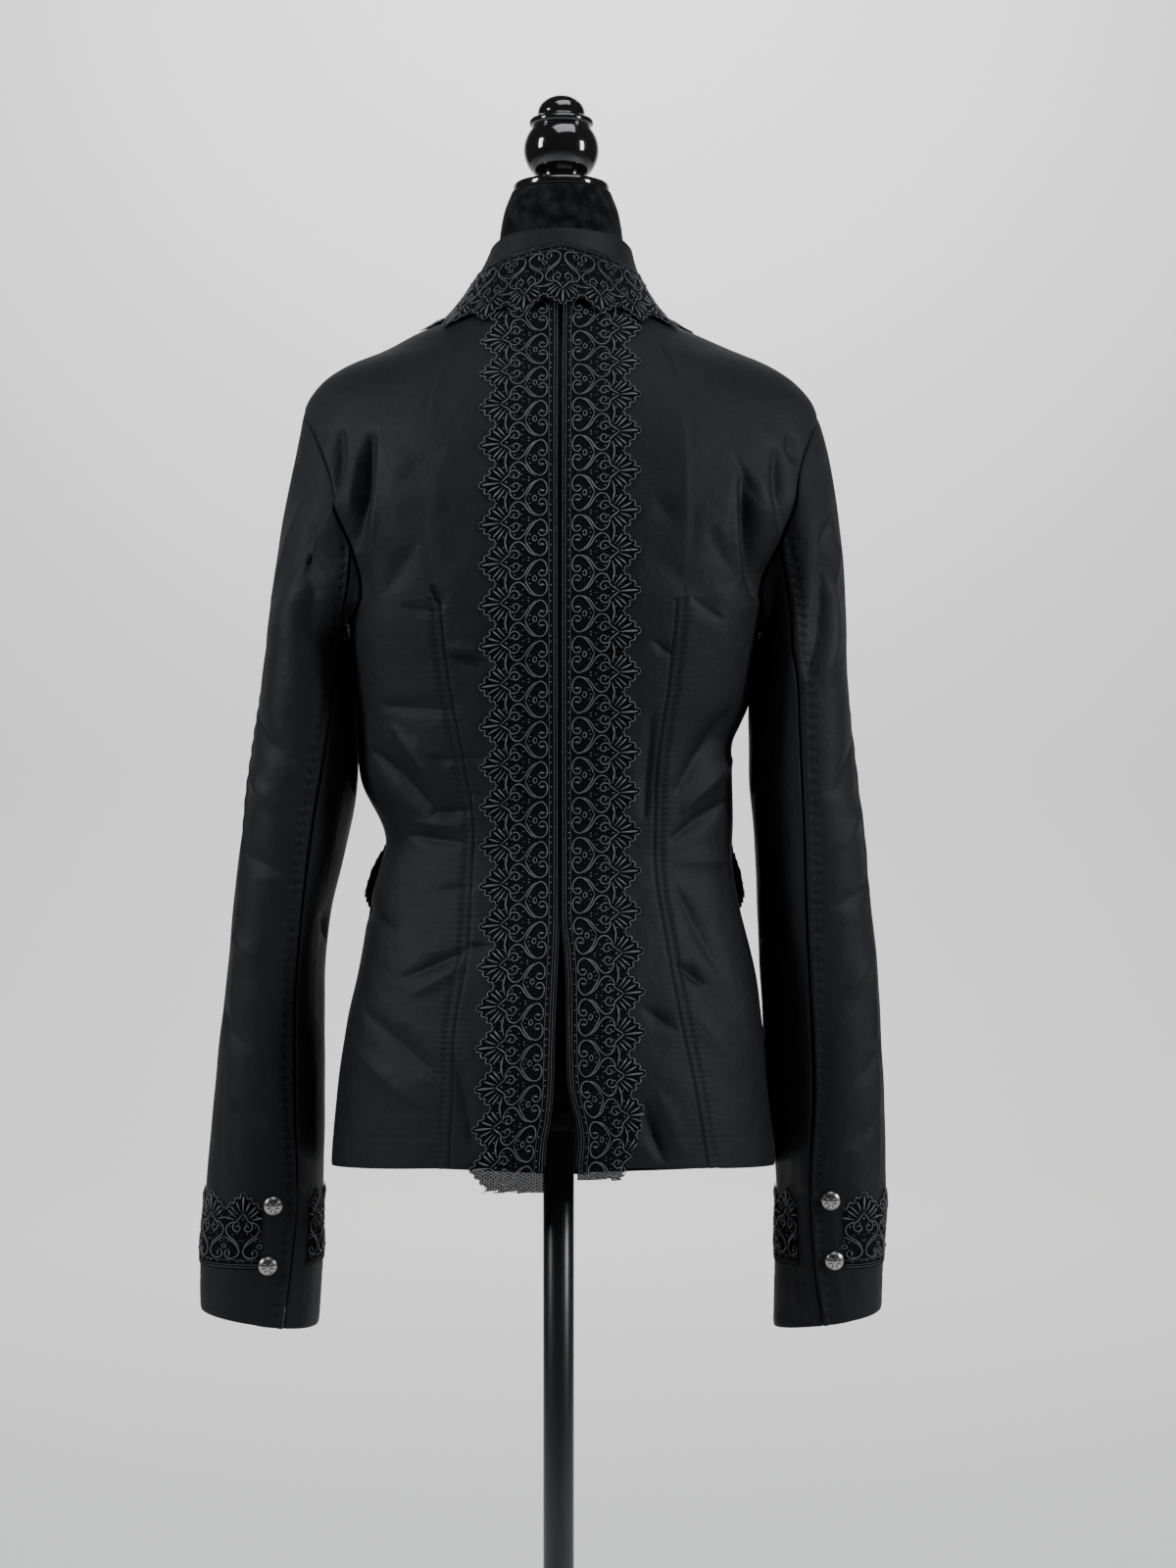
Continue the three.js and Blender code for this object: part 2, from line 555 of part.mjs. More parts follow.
// Lace bands round the cuffs, straight edge toward the hem and tips upward.
const BAND = [503, 522, 540];
for (const side of ['left', 'right']) {
  const { upper, under, rowAt } = SLEEVES[side];
  const band = (name, panel, columns, columnAt) => wall(name, 'lace', columns, 3, (i, j, face) => {
    const row = rowAt(BAND[j] ?? (i % 2 ? 559 : 545));
    return onPanel(panel, columnAt(i), row, 3 * LIFT + (1 - face) * LACE);
  });
  band(`lace_cuff_${side}`, upper, 8, (i) => Math.min(i, 7.8));
  band(`lace_under_${side}`, under, 6, (i) => i + 1);
}

// ---- pocket flaps with a lace edge
function flap(name, look, sign, columns, rows, at) {
  wall(name, look, columns, rows, (i, j, face) => {
    const { turn, height, out } = at(i, j, face);
    const free = 4 * ease((104 - turn) / 9) * ease((812 - height) / 30);
    const x = bodyBase(sign * turn, height).x;
    return body(sign * turn, height, out + free + (sign < 0 ? underLap(x) : 0));
  });
}
for (const [side, sign, seat] of [['left', -1, 1.7], ['right', 1, 0.9]]) {
  flap(`pocket_flap_${side}`, 'sateen', sign, 8, 3, (i, j, face) => ({
    turn: mix(96, 142, i / 8), height: mix(810, 770, j / 3), out: seat + (1 - face) * CLOTH,
  }));
  flap(`lace_flap_${side}`, 'lace', sign, 8, 3, (i, j, face) => ({
    turn: mix(96, 142, i / 8),
    height: [806, 790, 774, i % 2 ? 762 : 768][j],
    out: seat + 0.7 + CLOTH + (1 - face) * LACE,
  }));
}

// ---- buttons
function button(name, point, normal) {
  const turn = new THREE.Quaternion().setFromUnitVectors(new THREE.Vector3(0, 0, 1), normal);
  const profile = [[BUTTON_RADIUS * 0.8, 0], [BUTTON_RADIUS, 1.1], [BUTTON_RADIUS, 1.9],
    [BUTTON_RADIUS * 0.86, 3.1], [BUTTON_RADIUS * 0.5, 4.2], [BUTTON_RADIUS * 0.14, BUTTON_HEIGHT]];
  turned(name, 'silver', 12, profile, (p) => p.applyQuaternion(turn).add(point));
}

function cuffButton(name, side, x, height, seat) {
  const s = SLEEVES[side];
  const row = s.rowAt(height);
  let best = 0;
  for (let angle = 20; angle < 130; angle += 0.5) {
    const now = Math.abs(Math.abs(s.skin(angle, row, 0).x) - x);
    if (now < Math.abs(Math.abs(s.skin(best, row, 0).x) - x)) best = angle;
  }
  const low = s.skin(best, row, 0);
  const normal = s.skin(best, row, 1).sub(low).normalize();
  button(name, low.addScaledVector(normal, seat), normal);
}
cuffButton('button_cuff_left_1', 'left', 207, 549.7, 0.4);
cuffButton('button_cuff_left_2', 'left', 210.7, 505.7, 0.4);
cuffButton('button_cuff_right_1', 'right', 197.5, 553.6, 0.4);
cuffButton('button_cuff_right_2', 'right', 200.3, 509.6, 0.4);
for (const [n, height, seat] of [[1, 905, -0.05], [2, 815, 0.7]]) {
  const low = front(1, CENTRE, height, 0);
  const normal = front(1, CENTRE, height, 1).sub(low).normalize();
  button(`button_front_${n}`, low.addScaledVector(normal, seat), normal);
}

// ---- dress form and stand
closed('form_body', 'velvet', 26, FORM.length, (i, j) => {
  const { height } = FORM[j];
  const a = 2 * Math.PI * i / 26;
  const s = Math.sin(a);
  const c = Math.cos(a);
  const deep = read(FORM, c > 0 ? 'back' : 'front', height);
  const r = ringRadius(read(FORM, 'half', height), deep, read(FORM, 'square', height), s, c);
  return new THREE.Vector3(CENTRE + r * s, -r * c, height);
});
const onNeck = (p) => p.add(new THREE.Vector3(CENTRE, 0, 0));
turned('neck_cap', 'wood', 24, [[33.5, 1288.9], [35.2, 1290], [35.2, 1294], [33.5, 1295.8]], onNeck);
const ball = steps(-60, 50, 7)
  .map((a) => [27.7 * Math.cos(rad(a)), 1320.4 + 25.5 * Math.sin(rad(a))]);
turned('finial', 'wood', 20, [[21, 1296.2], ...ball.slice(1, -1), [19.5, 1336.4], [22.6, 1337.6],
  [23.8, 1340.4], [22.6, 1343], [18.6, 1345.2], [17.4, 1348], [15, 1354], [9.5, 1358.6],
  [3, 1360.4]], onNeck);
turned('pole', 'pole', 20, [[POLE_RADIUS, BASE_TOP + SEAM], [POLE_RADIUS, 300],
  [POLE_RADIUS, FORM_BOTTOM - SEAM]]);
turned('base', 'pole', 32, [[BASE_RADIUS - 1.5, 0], [BASE_RADIUS, 1.5], [BASE_RADIUS, 6],
  [BASE_RADIUS - 4, 9], [34, 13], [25, 16], [21, 27], [18, BASE_TOP]]);

export default group;
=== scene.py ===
# %% [markdown]
# # A lace-trimmed blazer on a velvet dress form
# This scene dresses the plain solids of a blazer, its dress form and its stand. Each cloth piece is
# worked out again from the same named sizes as its solid, with finer folds, seams and hems. The lace
# is one repeat of cords, arrayed and then laid over the cloth. All lengths in the tables are in mm.

import json
import math

import bmesh
import bpy
import numpy as np
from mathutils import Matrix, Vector

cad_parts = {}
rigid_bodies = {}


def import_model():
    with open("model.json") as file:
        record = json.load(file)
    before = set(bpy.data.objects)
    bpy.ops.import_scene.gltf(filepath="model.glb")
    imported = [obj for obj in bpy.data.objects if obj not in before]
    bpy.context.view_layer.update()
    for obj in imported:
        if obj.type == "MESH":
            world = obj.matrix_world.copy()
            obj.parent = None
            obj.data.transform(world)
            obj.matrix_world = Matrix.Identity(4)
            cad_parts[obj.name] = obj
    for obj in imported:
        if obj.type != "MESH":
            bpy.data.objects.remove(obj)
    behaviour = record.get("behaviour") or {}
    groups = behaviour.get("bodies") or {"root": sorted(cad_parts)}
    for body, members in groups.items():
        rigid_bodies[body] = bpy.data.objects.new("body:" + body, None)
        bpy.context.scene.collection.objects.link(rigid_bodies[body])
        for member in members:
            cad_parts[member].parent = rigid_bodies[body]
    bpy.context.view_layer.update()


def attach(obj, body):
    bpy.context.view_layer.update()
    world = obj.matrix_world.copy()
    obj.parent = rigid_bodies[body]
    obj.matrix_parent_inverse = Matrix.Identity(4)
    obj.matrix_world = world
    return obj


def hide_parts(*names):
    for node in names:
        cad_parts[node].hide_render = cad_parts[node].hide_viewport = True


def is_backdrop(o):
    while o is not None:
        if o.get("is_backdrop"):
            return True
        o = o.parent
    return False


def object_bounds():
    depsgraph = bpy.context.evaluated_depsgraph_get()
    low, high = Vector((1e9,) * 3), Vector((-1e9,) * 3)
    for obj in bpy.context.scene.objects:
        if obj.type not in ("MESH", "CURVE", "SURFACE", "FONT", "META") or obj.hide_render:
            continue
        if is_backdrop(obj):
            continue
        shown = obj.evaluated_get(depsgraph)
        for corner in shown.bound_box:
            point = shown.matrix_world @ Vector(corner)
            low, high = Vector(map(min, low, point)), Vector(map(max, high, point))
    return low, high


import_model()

# %% [markdown]
# ## Named sizes
# The tables below hold the sections of the body, collar and sleeves, each with named columns.

# %%
CENTRE = 2.0  # where the garment's middle stands
NECKLINE = 1206.0
SHOULDER = 1131.0  # the armhole's top
UNDERARM = 971.0  # the armhole's lowest point on the left
DROP = {"left": 0, "right": 5}  # the right armhole sits lower
SIGN = {"left": -1, "right": 1}
BREAK = 930.0  # where the lapels begin to roll
LAP = 18.0
UNDER = 5.4  # how deep the left front lies under the right one
PITCH = 28.0  # one repeat of the lace
LACE_WIDTH = 56.0
BUTTON_RADIUS = 6.8


def table(names, *rows):
    data = np.array(rows, float)
    return {name: data[:, i] for i, name in enumerate(names.split())}


WIDTH = table("height left right",
    (550, 166, 160), (581, 166, 158.5), (639, 160.6, 153), (682, 154.8, 148.5), (711, 148, 145),
    (740, 142.6, 139), (769, 138, 132.5), (797, 130, 127.6), (812, 126.5, 127.4), (826, 129.6, 128),
    (855, 144, 127.6), (884, 147.4, 127.6), (898, 148, 133), (912, 149, 139), (927, 150, 142.4),
    (960, 151.5, 146), (985, 152, 149.6), (1005, 156, 153), (1030, 167, 167), (1051, 178, 178),
    (1078, 185, 187), (1107, 188, 191), (1131, 186, 188), (1149, 173.5, 174), (1161, 155, 155),
    (1172, 129, 129), (1184, 105, 101), (1198, 70, 69), (1206, 55, 57))
DEPTH = table("height back front square",
    (550, 111, 114, 2.4), (639, 114, 117, 2.4), (711, 106, 113, 2.4), (769, 95, 105, 2.35),
    (812, 90, 101, 2.3), (860, 93, 108, 2.4), (927, 102, 124, 2.7), (985, 108, 122, 3.2),
    (1051, 106, 108, 3.1), (1078, 103.5, 102, 2.5), (1107, 99, 96, 2.1), (1131, 92, 86, 1.9),
    (1161, 78, 72, 1.8), (1184, 67, 62, 1.8), (1206, 57, 54, 2))
ARMHOLE = table("loop left right height",
    (0, 90, 90, 1131), (22, 80, 80.5, 1112), (45, 71.5, 73.5, 1084), (68, 66.5, 70.5, 1056),
    (90, 63.5, 70, 1022), (112, 62.8, 72, 996), (135, 66, 76, 981), (158, 76, 82, 973), (180, 90, 90, 971),
    (202, 104, 104, 973), (225, 113, 113, 981), (248, 117, 117, 997), (270, 117, 117, 1022),
    (292, 114, 114, 1056), (315, 109, 109, 1086), (338, 100, 100, 1113), (360, 90, 90, 1131))
DART = table("height left right",
    (550, -77, 112), (591, -75.5, 105.5), (646, -73, 96), (690, -71, 87), (740, -62.5, 77.5),
    (791, -60, 69), (828, -59, 68.4), (876, -66.5, 71), (924, -75.4, 78), (980, -81.5, 83.5),
    (1080, -84, 86), (1160, -72, 72), (1206, -42, 44))
VENT = table("height left right",
    (550, -8.4, 12.6), (590, -8.2, 13.6), (607, -7, 15), (621, -4.4, 13.4), (635, -2.8, 9.8), (650, -2, 7.4),
    (680, -1.4, 6.6), (717, 0, 6.2), (740, 1, 4.8), (763, 1.75, 2.25), (1206, 1.75, 2.25))
HEM = table("turn height", (0, 590), (45, 586), (90, 576), (135, 558.5), (180, 553), (215, 553))
SLEEVE = {
    "left": table("height outer inner depth middle seam",
        (455, 265, 178, 42, 18, 0.745), (510, 264.5, 175, 43.5, 17.5, 0.79),
        (563, 260.3, 175, 46, 17, 0.83), (634, 253.5, 173, 50, 15, 0.785), (711, 245, 173, 54, 12, 0.78),
        (760, 239.5, 168.5, 57, 9, 0.78), (812, 233, 156, 60, 6, 0.72), (855, 227, 149, 62, 4, 0.73),
        (894, 221.5, 148.8, 64.5, 2, 0.8), (927, 217, 150.8, 66, 0, 0.87), (955, 213, 152.4, 66, -2, 0.93)),
    "right": table("height outer inner depth middle seam",
        (455, 238.4, 159, 41, 18, 0.57), (510, 240.4, 160, 43, 17.5, 0.68), (563, 241.8, 160.8, 46, 17, 0.73),
        (634, 240, 153.8, 50, 15, 0.645), (711, 235.4, 149.2, 54, 12, 0.63), (760, 230.8, 146.6, 57, 9, 0.62),
        (812, 224.6, 144.6, 60, 6, 0.6), (855, 219, 140.2, 62, 4, 0.565), (894, 214.4, 140, 64.5, 2, 0.565),
        (927, 212, 140.8, 66, 0, 0.58), (955, 210.5, 143.6, 66, -2, 0.66)),
}
COLLAR = table("turn fold top mid mean edge clear",
    (0, 54, 1252, 60.5, 1227, 1203, 8), (45, 53.5, 1250, 62, 1222, 1194, 6.5),
    (70, 53, 1246, 63, 1219, 1192, 4), (90, 52.5, 1242, 64, 1217, 1193, 1.6),
    (110, 52.5, 1234, 67, 1206, 1186, 1.6), (125, 55, 1219, 74, 1190, 1166, 2.2),
    (140, 62, 1199, 83.5, 1170, 1142, 3))
LAPEL = table("height reach", (934, -14), (965, 30), (1020, 66), (1080, 88), (1118, 98))
FORM = table("height half back front square",
    (612, 135, 92, 92, 2.3), (622, 141, 99, 99, 2.3), (660, 141, 100, 102, 2.3),
    (711, 132, 94, 99, 2.3), (769, 118, 83, 92, 2.25), (812, 110, 79, 87, 2.2),
    (860, 112, 81, 94, 2.3), (927, 124, 89, 106, 2.4), (985, 133, 95, 106, 2.7),
    (1051, 146, 93, 91, 2.5), (1090, 150, 87, 81, 2.1), (1120, 150, 80, 73, 1.8), (1142, 146, 74, 67, 1.7),
    (1158, 138, 69, 63, 1.7), (1172, 120.5, 65, 60, 1.75), (1184, 93.7, 60.5, 56, 1.75),
    (1197, 64, 53, 51.5, 1.8), (1206, 49, 48, 48, 2), (1225, 46, 45.5, 46, 2), (1252, 45.5, 45.5, 45.5, 2),
    (1274, 42, 42, 42, 2), (1288.5, 36.5, 36.5, 36.5, 2))

# %% [markdown]
# ## Creases
# Each crease runs from one place to another in width and height, with its spread and its depth.
# A minus depth is a trough. They are uneven on purpose, and the hidden front has similar ones.

# %%
NAMES = "x1 z1 x2 z2 spread depth"
BACK_FOLDS = table(NAMES,
    (-132, 1100, -142, 1026, 7, -8.4), (-127, 1098, -130, 1020, 3.4, 1.8),
    (-154, 1106, -161, 1058, 4.2, -5.5), (-143, 1085, -148, 1050, 4, 1.6), (-110, 1066, -81, 1090, 8, -1.6),
    (-119, 992, -99, 1022, 9, -1.8),
    (-108, 979, -83, 975, 3, -1.5), (-88, 993, -80, 979, 3, -2.2), (-74, 945, -45, 937, 3.2, -2.8),
    (-76, 951, -50, 946, 4, 1.2), (-121, 910, -76, 907, 6, -1.8), (-130, 877, -87, 836, 6, -3.4),
    (-116, 894, -74, 843, 6, 2.4), (-87, 834, -62, 836, 4.5, -2.8), (-104, 818, -66, 813, 4, -2.6),
    (-100, 828, -70, 825, 4, 1.3), (-90, 874, -70, 871, 2.5, -1.6), (-66, 874, -47, 873, 2.6, -1.2),
    (-63, 848, -46, 846, 3, -1.2), (-85, 780, -60, 782, 4, -1.1), (-62, 742, -46, 741, 1.8, -2.2),
    (-107, 719, -65, 738, 4.5, -2.4), (-100, 708, -66, 728, 5, 1.4), (-134, 690, -84, 652, 8, -2.6),
    (-140, 662, -98, 632, 9, 1.8), (-70, 660, -58, 606, 6, -1.8), (-152, 770, -118, 752, 6, -1.8),
    (131, 1068, 142, 990, 7.4, -8.4), (126, 1056, 129, 996, 3.4, 1.8), (155, 1090, 160, 1040, 5, -5),
    (165, 1104, 172, 1085, 3.8, -4), (125, 1084, 145, 1052, 3.4, -1.8), (70, 1053, 83, 1036, 6, -1.4),
    (107, 1031, 119, 1008, 6, -1.4), (96, 984, 115, 971, 4, -1.8), (67, 955, 81, 945, 3, -2.2),
    (66, 900, 61, 832, 5, -2.4), (122, 906, 86, 852, 7, -3.2), (126, 872, 90, 838, 6, 2.4),
    (120, 842, 82, 817, 5, -2.6), (122, 800, 86, 800, 6, 1.6), (86, 778, 116, 722, 6, -2.6),
    (85, 728, 103, 715, 3.8, -2.4), (62, 698, 81, 685, 4.2, -2.8), (94, 726, 132, 678, 8, -2),
    (100, 690, 138, 640, 9, 1.6), (60, 632, 74, 594, 4.6, -3.6), (72, 636, 88, 598, 7, 1.4),
    (-100, 1150, -84, 1050, 20, 1.2), (104, 1150, 88, 1050, 20, 1.2), (70, 1012, 116, 978, 10, -1.2))
FRONT_FOLDS = table(NAMES,
    (-122, 905, -70, 850, 9, -3), (-128, 868, -84, 836, 8, 2.4), (-118, 830, -70, 815, 7, -2.4),
    (118, 900, 66, 848, 9, -3), (124, 862, 80, 832, 8, 2.4), (116, 824, 62, 812, 7, -2.4),
    (-150, 1090, -135, 1010, 8, -3), (150, 1085, 134, 1005, 8, -3), (-120, 700, -60, 650, 13, 2),
    (126, 690, 70, 640, 13, 2), (-40, 860, -64, 800, 8, -1.4), (40, 870, 60, 800, 8, -1.4))
SLEEVE_FOLDS = {
    "left": table(NAMES,
        (60, 1036, 88, 990, 8, -5), (88, 992, 97, 952, 7, -3.6), (38, 1066, 30, 990, 8, 1.4),
        (44, 902, 86, 872, 8, -3), (38, 868, 82, 838, 7, 2.2),
        (54, 806, 90, 792, 6, -2.4), (46, 748, 86, 726, 7, 1.8), (36, 692, 76, 664, 8, -2),
        (60, 622, 92, 604, 6, -1.8), (-60, 900, -20, 862, 9, -2.6), (-66, 800, -24, 776, 8, 2),
        (-64, 690, -30, 660, 9, -2), (140, 880, 170, 850, 8, -2.4), (140, 760, 176, 742, 7, -2),
        (14, 930, 54, 760, 3, 1), (54, 760, 60, 560, 3, 0.9), (10, 1090, 40, 1060, 9, -1.6)),
    "right": table(NAMES,
        (34, 1042, 70, 1004, 8, -4.6), (70, 1006, 88, 936, 8, -5.4), (22, 1030, 56, 998, 5, 1.8),
        (58, 998, 76, 930, 6, 2), (40, 880, 72, 850, 8, -2.6), (34, 842, 70, 812, 7, 2),
        (44, 782, 76, 768, 6, -2.2), (40, 730, 74, 704, 7, 1.8), (30, 668, 66, 640, 8, -2),
        (50, 610, 80, 592, 6, -1.8), (-60, 900, -20, 862, 9, -2.6), (-66, 800, -24, 776, 8, 2),
        (-64, 690, -30, 660, 9, -2), (120, 880, 160, 850, 8, -2.4), (120, 760, 166, 742, 7, -2),
        (8, 925, 36, 760, 3, 1), (36, 760, 42, 560, 3, 0.9), (10, 1090, 40, 1060, 9, -1.6)),
}


def folds(rows, x, z):
    """The height of all creases at a place: each is widest and deepest at its middle."""
    total = np.zeros(np.broadcast(x, z).shape)
    for x1, z1, x2, z2, spread, depth in zip(*rows.values()):
        dx, dz = x2 - x1, z2 - z1
        k = np.clip(((x - x1) * dx + (z - z1) * dz) / (dx * dx + dz * dz), 0, 1)
        full = np.sin(math.pi * k)
        off = np.hypot(x - x1 - dx * k, z - z1 - dz * k) / (spread * (0.5 + 0.5 * full))
        total += depth * np.exp(-(off**1.5)) * (0.4 + 0.6 * full)
    return 1.6 * total


def ripple(x, z, size=46.0):
    """A slow unevenness of the cloth, the same each time."""
    a = np.sin(x / size * 2.1 + 1.3 * np.sin(z / size * 0.9)) * np.sin(z / size * 1.7 + 0.8)
    b = np.sin((x + 0.6 * z) / size * 3.7 + 0.4) * np.sin((z - 0.5 * x) / size * 2.9 + 2.1)
    return 0.45 * a + 0.22 * b


# %% [markdown]
# ## Surfaces
# A table is read with a smooth cubic curve. The body is a rounded-square ring by turn and height, the
# sleeves are rings that meet the armhole loop, and the collar falls from its fold to its edge.

# %%
def read(rows, column, where):
    x, y = next(iter(rows.values())), rows[column]
    xs, ys = np.concatenate([x[:1], x, x[-1:]]), np.concatenate([y[:1], y, y[-1:]])
    slope = (ys[2:] - ys[:-2]) / (xs[2:] - xs[:-2])
    i = np.clip(np.searchsorted(x, where, side="right") - 1, 0, len(x) - 2)
    span = x[i + 1] - x[i]
    t = np.clip((where - x[i]) / span, 0, 1)
    rise = t * t * (3 - 2 * t)
    bend = t * (1 - t) ** 2 * slope[i] - t * t * (1 - t) * slope[i + 1]
    return y[i] * (1 - rise) + y[i + 1] * rise + span * bend


def ease(t):
    t = np.clip(t, 0, 1)
    return t * t * (3 - 2 * t)


def mix(a, b, t):
    return a + (b - a) * t


def bump(x, width):
    return np.exp(-((x / width) ** 2))


def xyz(x, y, z):
    return np.stack(np.broadcast_arrays(x, y, z), -1).astype(float)


def unit(v):
    return v / np.maximum(np.linalg.norm(v, axis=-1, keepdims=True), 1e-9)


def ring(wide, deep, square, s, c):
    return (np.abs(s / wide) ** square + np.abs(c / deep) ** square) ** (-1 / square)


def half(height, s):
    return np.where(s > 0, read(WIDTH, "right", height) - CENTRE, read(WIDTH, "left", height) + CENTRE)


def body_base(turn, height):
    s, c = np.sin(np.radians(turn)), np.cos(np.radians(turn))
    deep = np.where(c > 0, read(DEPTH, "back", height), read(DEPTH, "front", height))
    r = ring(half(height, s), deep, read(DEPTH, "square", height), s, c)
    return xyz(CENTRE + r * s, -r * c, height)


def normal_of(surface, u, v, du, dv):
    across = surface(u + du, v) - surface(u - du, v)
    up = surface(u, v + dv) - surface(u, v - dv)
    return unit(np.cross(across, up))


def body(turn, height, out=0.0):
    p = body_base(turn, height)
    n = normal_of(body_base, turn, height, 0.5, 0.8)
    back = np.cos(np.radians(turn)) > 0
    shown = np.where(back, folds(BACK_FOLDS, p[..., 0], height), folds(FRONT_FOLDS, p[..., 0], height))
    calm = ease((np.abs(p[..., 0] - CENTRE) - 30) / 40)
    shown = shown * np.where(back, mix(0.35, 1, calm), 1) + ripple(p[..., 0] * 1.1, height) * calm
    return p + n * (shown + out)[..., None]


def turn_at(x, height, front=False):
    n = read(DEPTH, "square", height)
    deep = read(DEPTH, "front" if front else "back", height)
    wide = half(height, x - CENTRE)
    y = deep * (1 - np.minimum(np.abs(x - CENTRE) / wide, 1) ** n) ** (1 / n)
    turn = np.degrees(np.arctan2(x - CENTRE, y))
    return 180 - turn if front else turn


def roll(side, height):
    """Where a front is rolled over, from the lap at the break up to the neck."""
    t = np.clip((height - BREAK) / (1198 - BREAK), 0, None)
    return mix(-LAP, 46, t) if side == "right" else mix(LAP + 4, -42, t)


def under_lap(side, x):
    """The left front sinks under the right one."""
    return -UNDER * ease((x + 62) / 40) * (side == "left")


def front(side, x, height, out):
    return body(turn_at(x, height, True), height, out + under_lap(side, x))


# %% [markdown]
# The sleeve's rows run from 0 at the armhole to 5 at the underarm level, then down to the cuff.

# %%
TOP, CUFF = 955.0, 455.0
CAP, LENGTH = 5.0, 12.0  # rows in the cap, and below it
SQUARE = 2.3  # how square the arm's section is
FRONT_SEAM = -112.5  # the hidden seam's angle
FLARE = {"left": 0.16, "right": 0.34}
SEAM_START = {"left": 90, "right": 84}
DIVE = {"left": 1.5, "right": 4.5}  # how far the under piece sinks beside its seam


def row_at(height):
    return CAP + (TOP - height) * LENGTH / (TOP - CUFF)


def height_at(row):
    return TOP - (row - CAP) * (TOP - CUFF) / LENGTH


def sleeve_ring(side, angle, height):
    rows, sign = SLEEVE[side], SIGN[side]
    outer, inner = read(rows, "outer", height), read(rows, "inner", height)
    c, s = np.cos(np.radians(angle)), np.sin(np.radians(angle))
    r = ring((outer - inner) / 2, read(rows, "depth", height), SQUARE, c, s)
    return xyz(sign * ((outer + inner) / 2 + r * c), read(rows, "middle", height) - r * s, height)


def sleeve_base(side, angle, row):
    sign = SIGN[side]
    low = sleeve_ring(side, angle, np.minimum(height_at(np.maximum(row, CAP)), TOP))
    loop = np.mod(angle + 360, 360)
    foot = body(sign * read(ARMHOLE, side, loop), read(ARMHOLE, "height", loop) - DROP[side])
    c, s = np.cos(np.radians(angle)), np.sin(np.radians(angle))
    near = (1 - c) / 2
    lead = xyz(sign * mix(FLARE[side], 1, near), -0.3 * s, mix(-0.94, 0, near**1.4))
    end = sleeve_ring(side, angle, np.full(np.shape(row), TOP))
    run = np.linalg.norm(foot - end, axis=-1) * 0.9
    t = np.clip(row / CAP, 0, 1)
    foot = foot + lead * (0.6 + 0.5 * near)[..., None]
    cap = foot + (end - foot) * (t * t * (3 - 2 * t))[..., None]
    cap = cap + lead * (run * t * (1 - t) ** 2)[..., None]
    cap[..., 2] += run * t * t * (1 - t)
    return np.where((row >= CAP)[..., None], low, cap)


def seam_angle(side, row):
    rows = SLEEVE[side]

    def ring_angle(height):
        wide = (read(rows, "outer", height) - read(rows, "inner", height)) / 2
        u = 1 - 2 * read(rows, "seam", height)
        y = read(rows, "depth", height) * (1 - np.abs(u) ** SQUARE) ** (1 / SQUARE)
        return np.degrees(np.arctan2(y, wide * u))

    below = ring_angle(height_at(np.maximum(row, CAP)))
    return mix(SEAM_START[side], below, 1 - (1 - np.clip(row / CAP, 0, 1)) ** 2.4)


def sleeve(side, angle, row, out=0.0):
    """The sleeve with its creases, and its back seam: a groove beside stitches that pucker the cloth."""
    sign = SIGN[side]
    p = sleeve_base(side, angle, row)
    n = normal_of(lambda a, r: sleeve_base(side, a, r), angle, np.maximum(row, 0.06), 0.5, 0.05)
    turn = np.mod(angle - FRONT_SEAM, 360) + FRONT_SEAM
    level = np.where(row > CAP, height_at(row), p[..., 2])
    shown = folds(SLEEVE_FOLDS[side], turn, level) * ease(row / 0.8)
    shown = shown + ripple(turn * 0.8 + 30 * sign, level, 38) * ease(row / 2)
    seam = (turn - seam_angle(side, row)) * 0.85
    pits = (0.5 + 0.5 * np.sin(level * 0.86 + 2 * np.sin(level / 31))) ** 2
    sewn = 0.45 * bump(seam + 3, 2.2) - 0.9 * bump(seam, 0.9) - 1.3 * pits * bump(seam + 6.6, 2.6)
    dive = DIVE[side] * ease(seam / 20) * (1 - ease((seam - 30) / 28))
    shown = shown + sewn * ease(row / 0.3) - dive * ease(row / 1.2)
    return p + sign * n * (shown + out)[..., None]


# %% [markdown]
# The collar goes by turn, and by share of the way from its fold to its edge. It clears the shoulders.

# %%
def collar_base(turn, v):
    t = np.abs(turn)
    edge_height = read(COLLAR, "edge", t)
    s, c = np.sin(np.radians(turn)), np.cos(np.radians(turn))
    deep = np.where(c > 0, read(DEPTH, "back", edge_height), read(DEPTH, "front", edge_height))
    edge = ring(half(edge_height, s), deep, read(DEPTH, "square", edge_height), s, c)
    edge = edge + read(COLLAR, "clear", t)
    swell = np.sin(np.radians(np.minimum(t, 140) * 180 / 140)) * np.where(turn < 0, 3, -2)
    fold, mid = read(COLLAR, "fold", t), read(COLLAR, "mid", t) + swell
    a, b, d = (1 - v) * (1 - 2 * v), 4 * v * (1 - v), v * (2 * v - 1)
    z = a * read(COLLAR, "top", t) + b * read(COLLAR, "mean", t) + d * edge_height
    below = body_base(turn, np.minimum(z, NECKLINE))
    slope = normal_of(body_base, turn, np.minimum(z, NECKLINE - 1), 0.5, 0.8)
    least = np.hypot(below[..., 0] - CENTRE, below[..., 1])
    lean = np.maximum(slope[..., 0] * s - slope[..., 1] * c, 0.35)
    least = least + mix(2.6, 1.7, ease((t - 50) / 30)) / lean
    r = np.maximum(a * fold + b * mid + d * edge, np.where(z < NECKLINE, least, 0))
    return xyz(CENTRE + r * s, -r * c, z)


def collar(turn, v, out=0.0):
    n = normal_of(collar_base, turn, v, 0.5, -0.02)
    return collar_base(turn, v) + n * (out + 0.25 * ripple(turn * 1.6, v * 60, 20))[..., None]


# %% [markdown]
# ## Shells
# A shell is one outer sheet of points whose rim turns under, as a hem does, so that its edges show
# the thickness of the cloth.

# %%
made = []


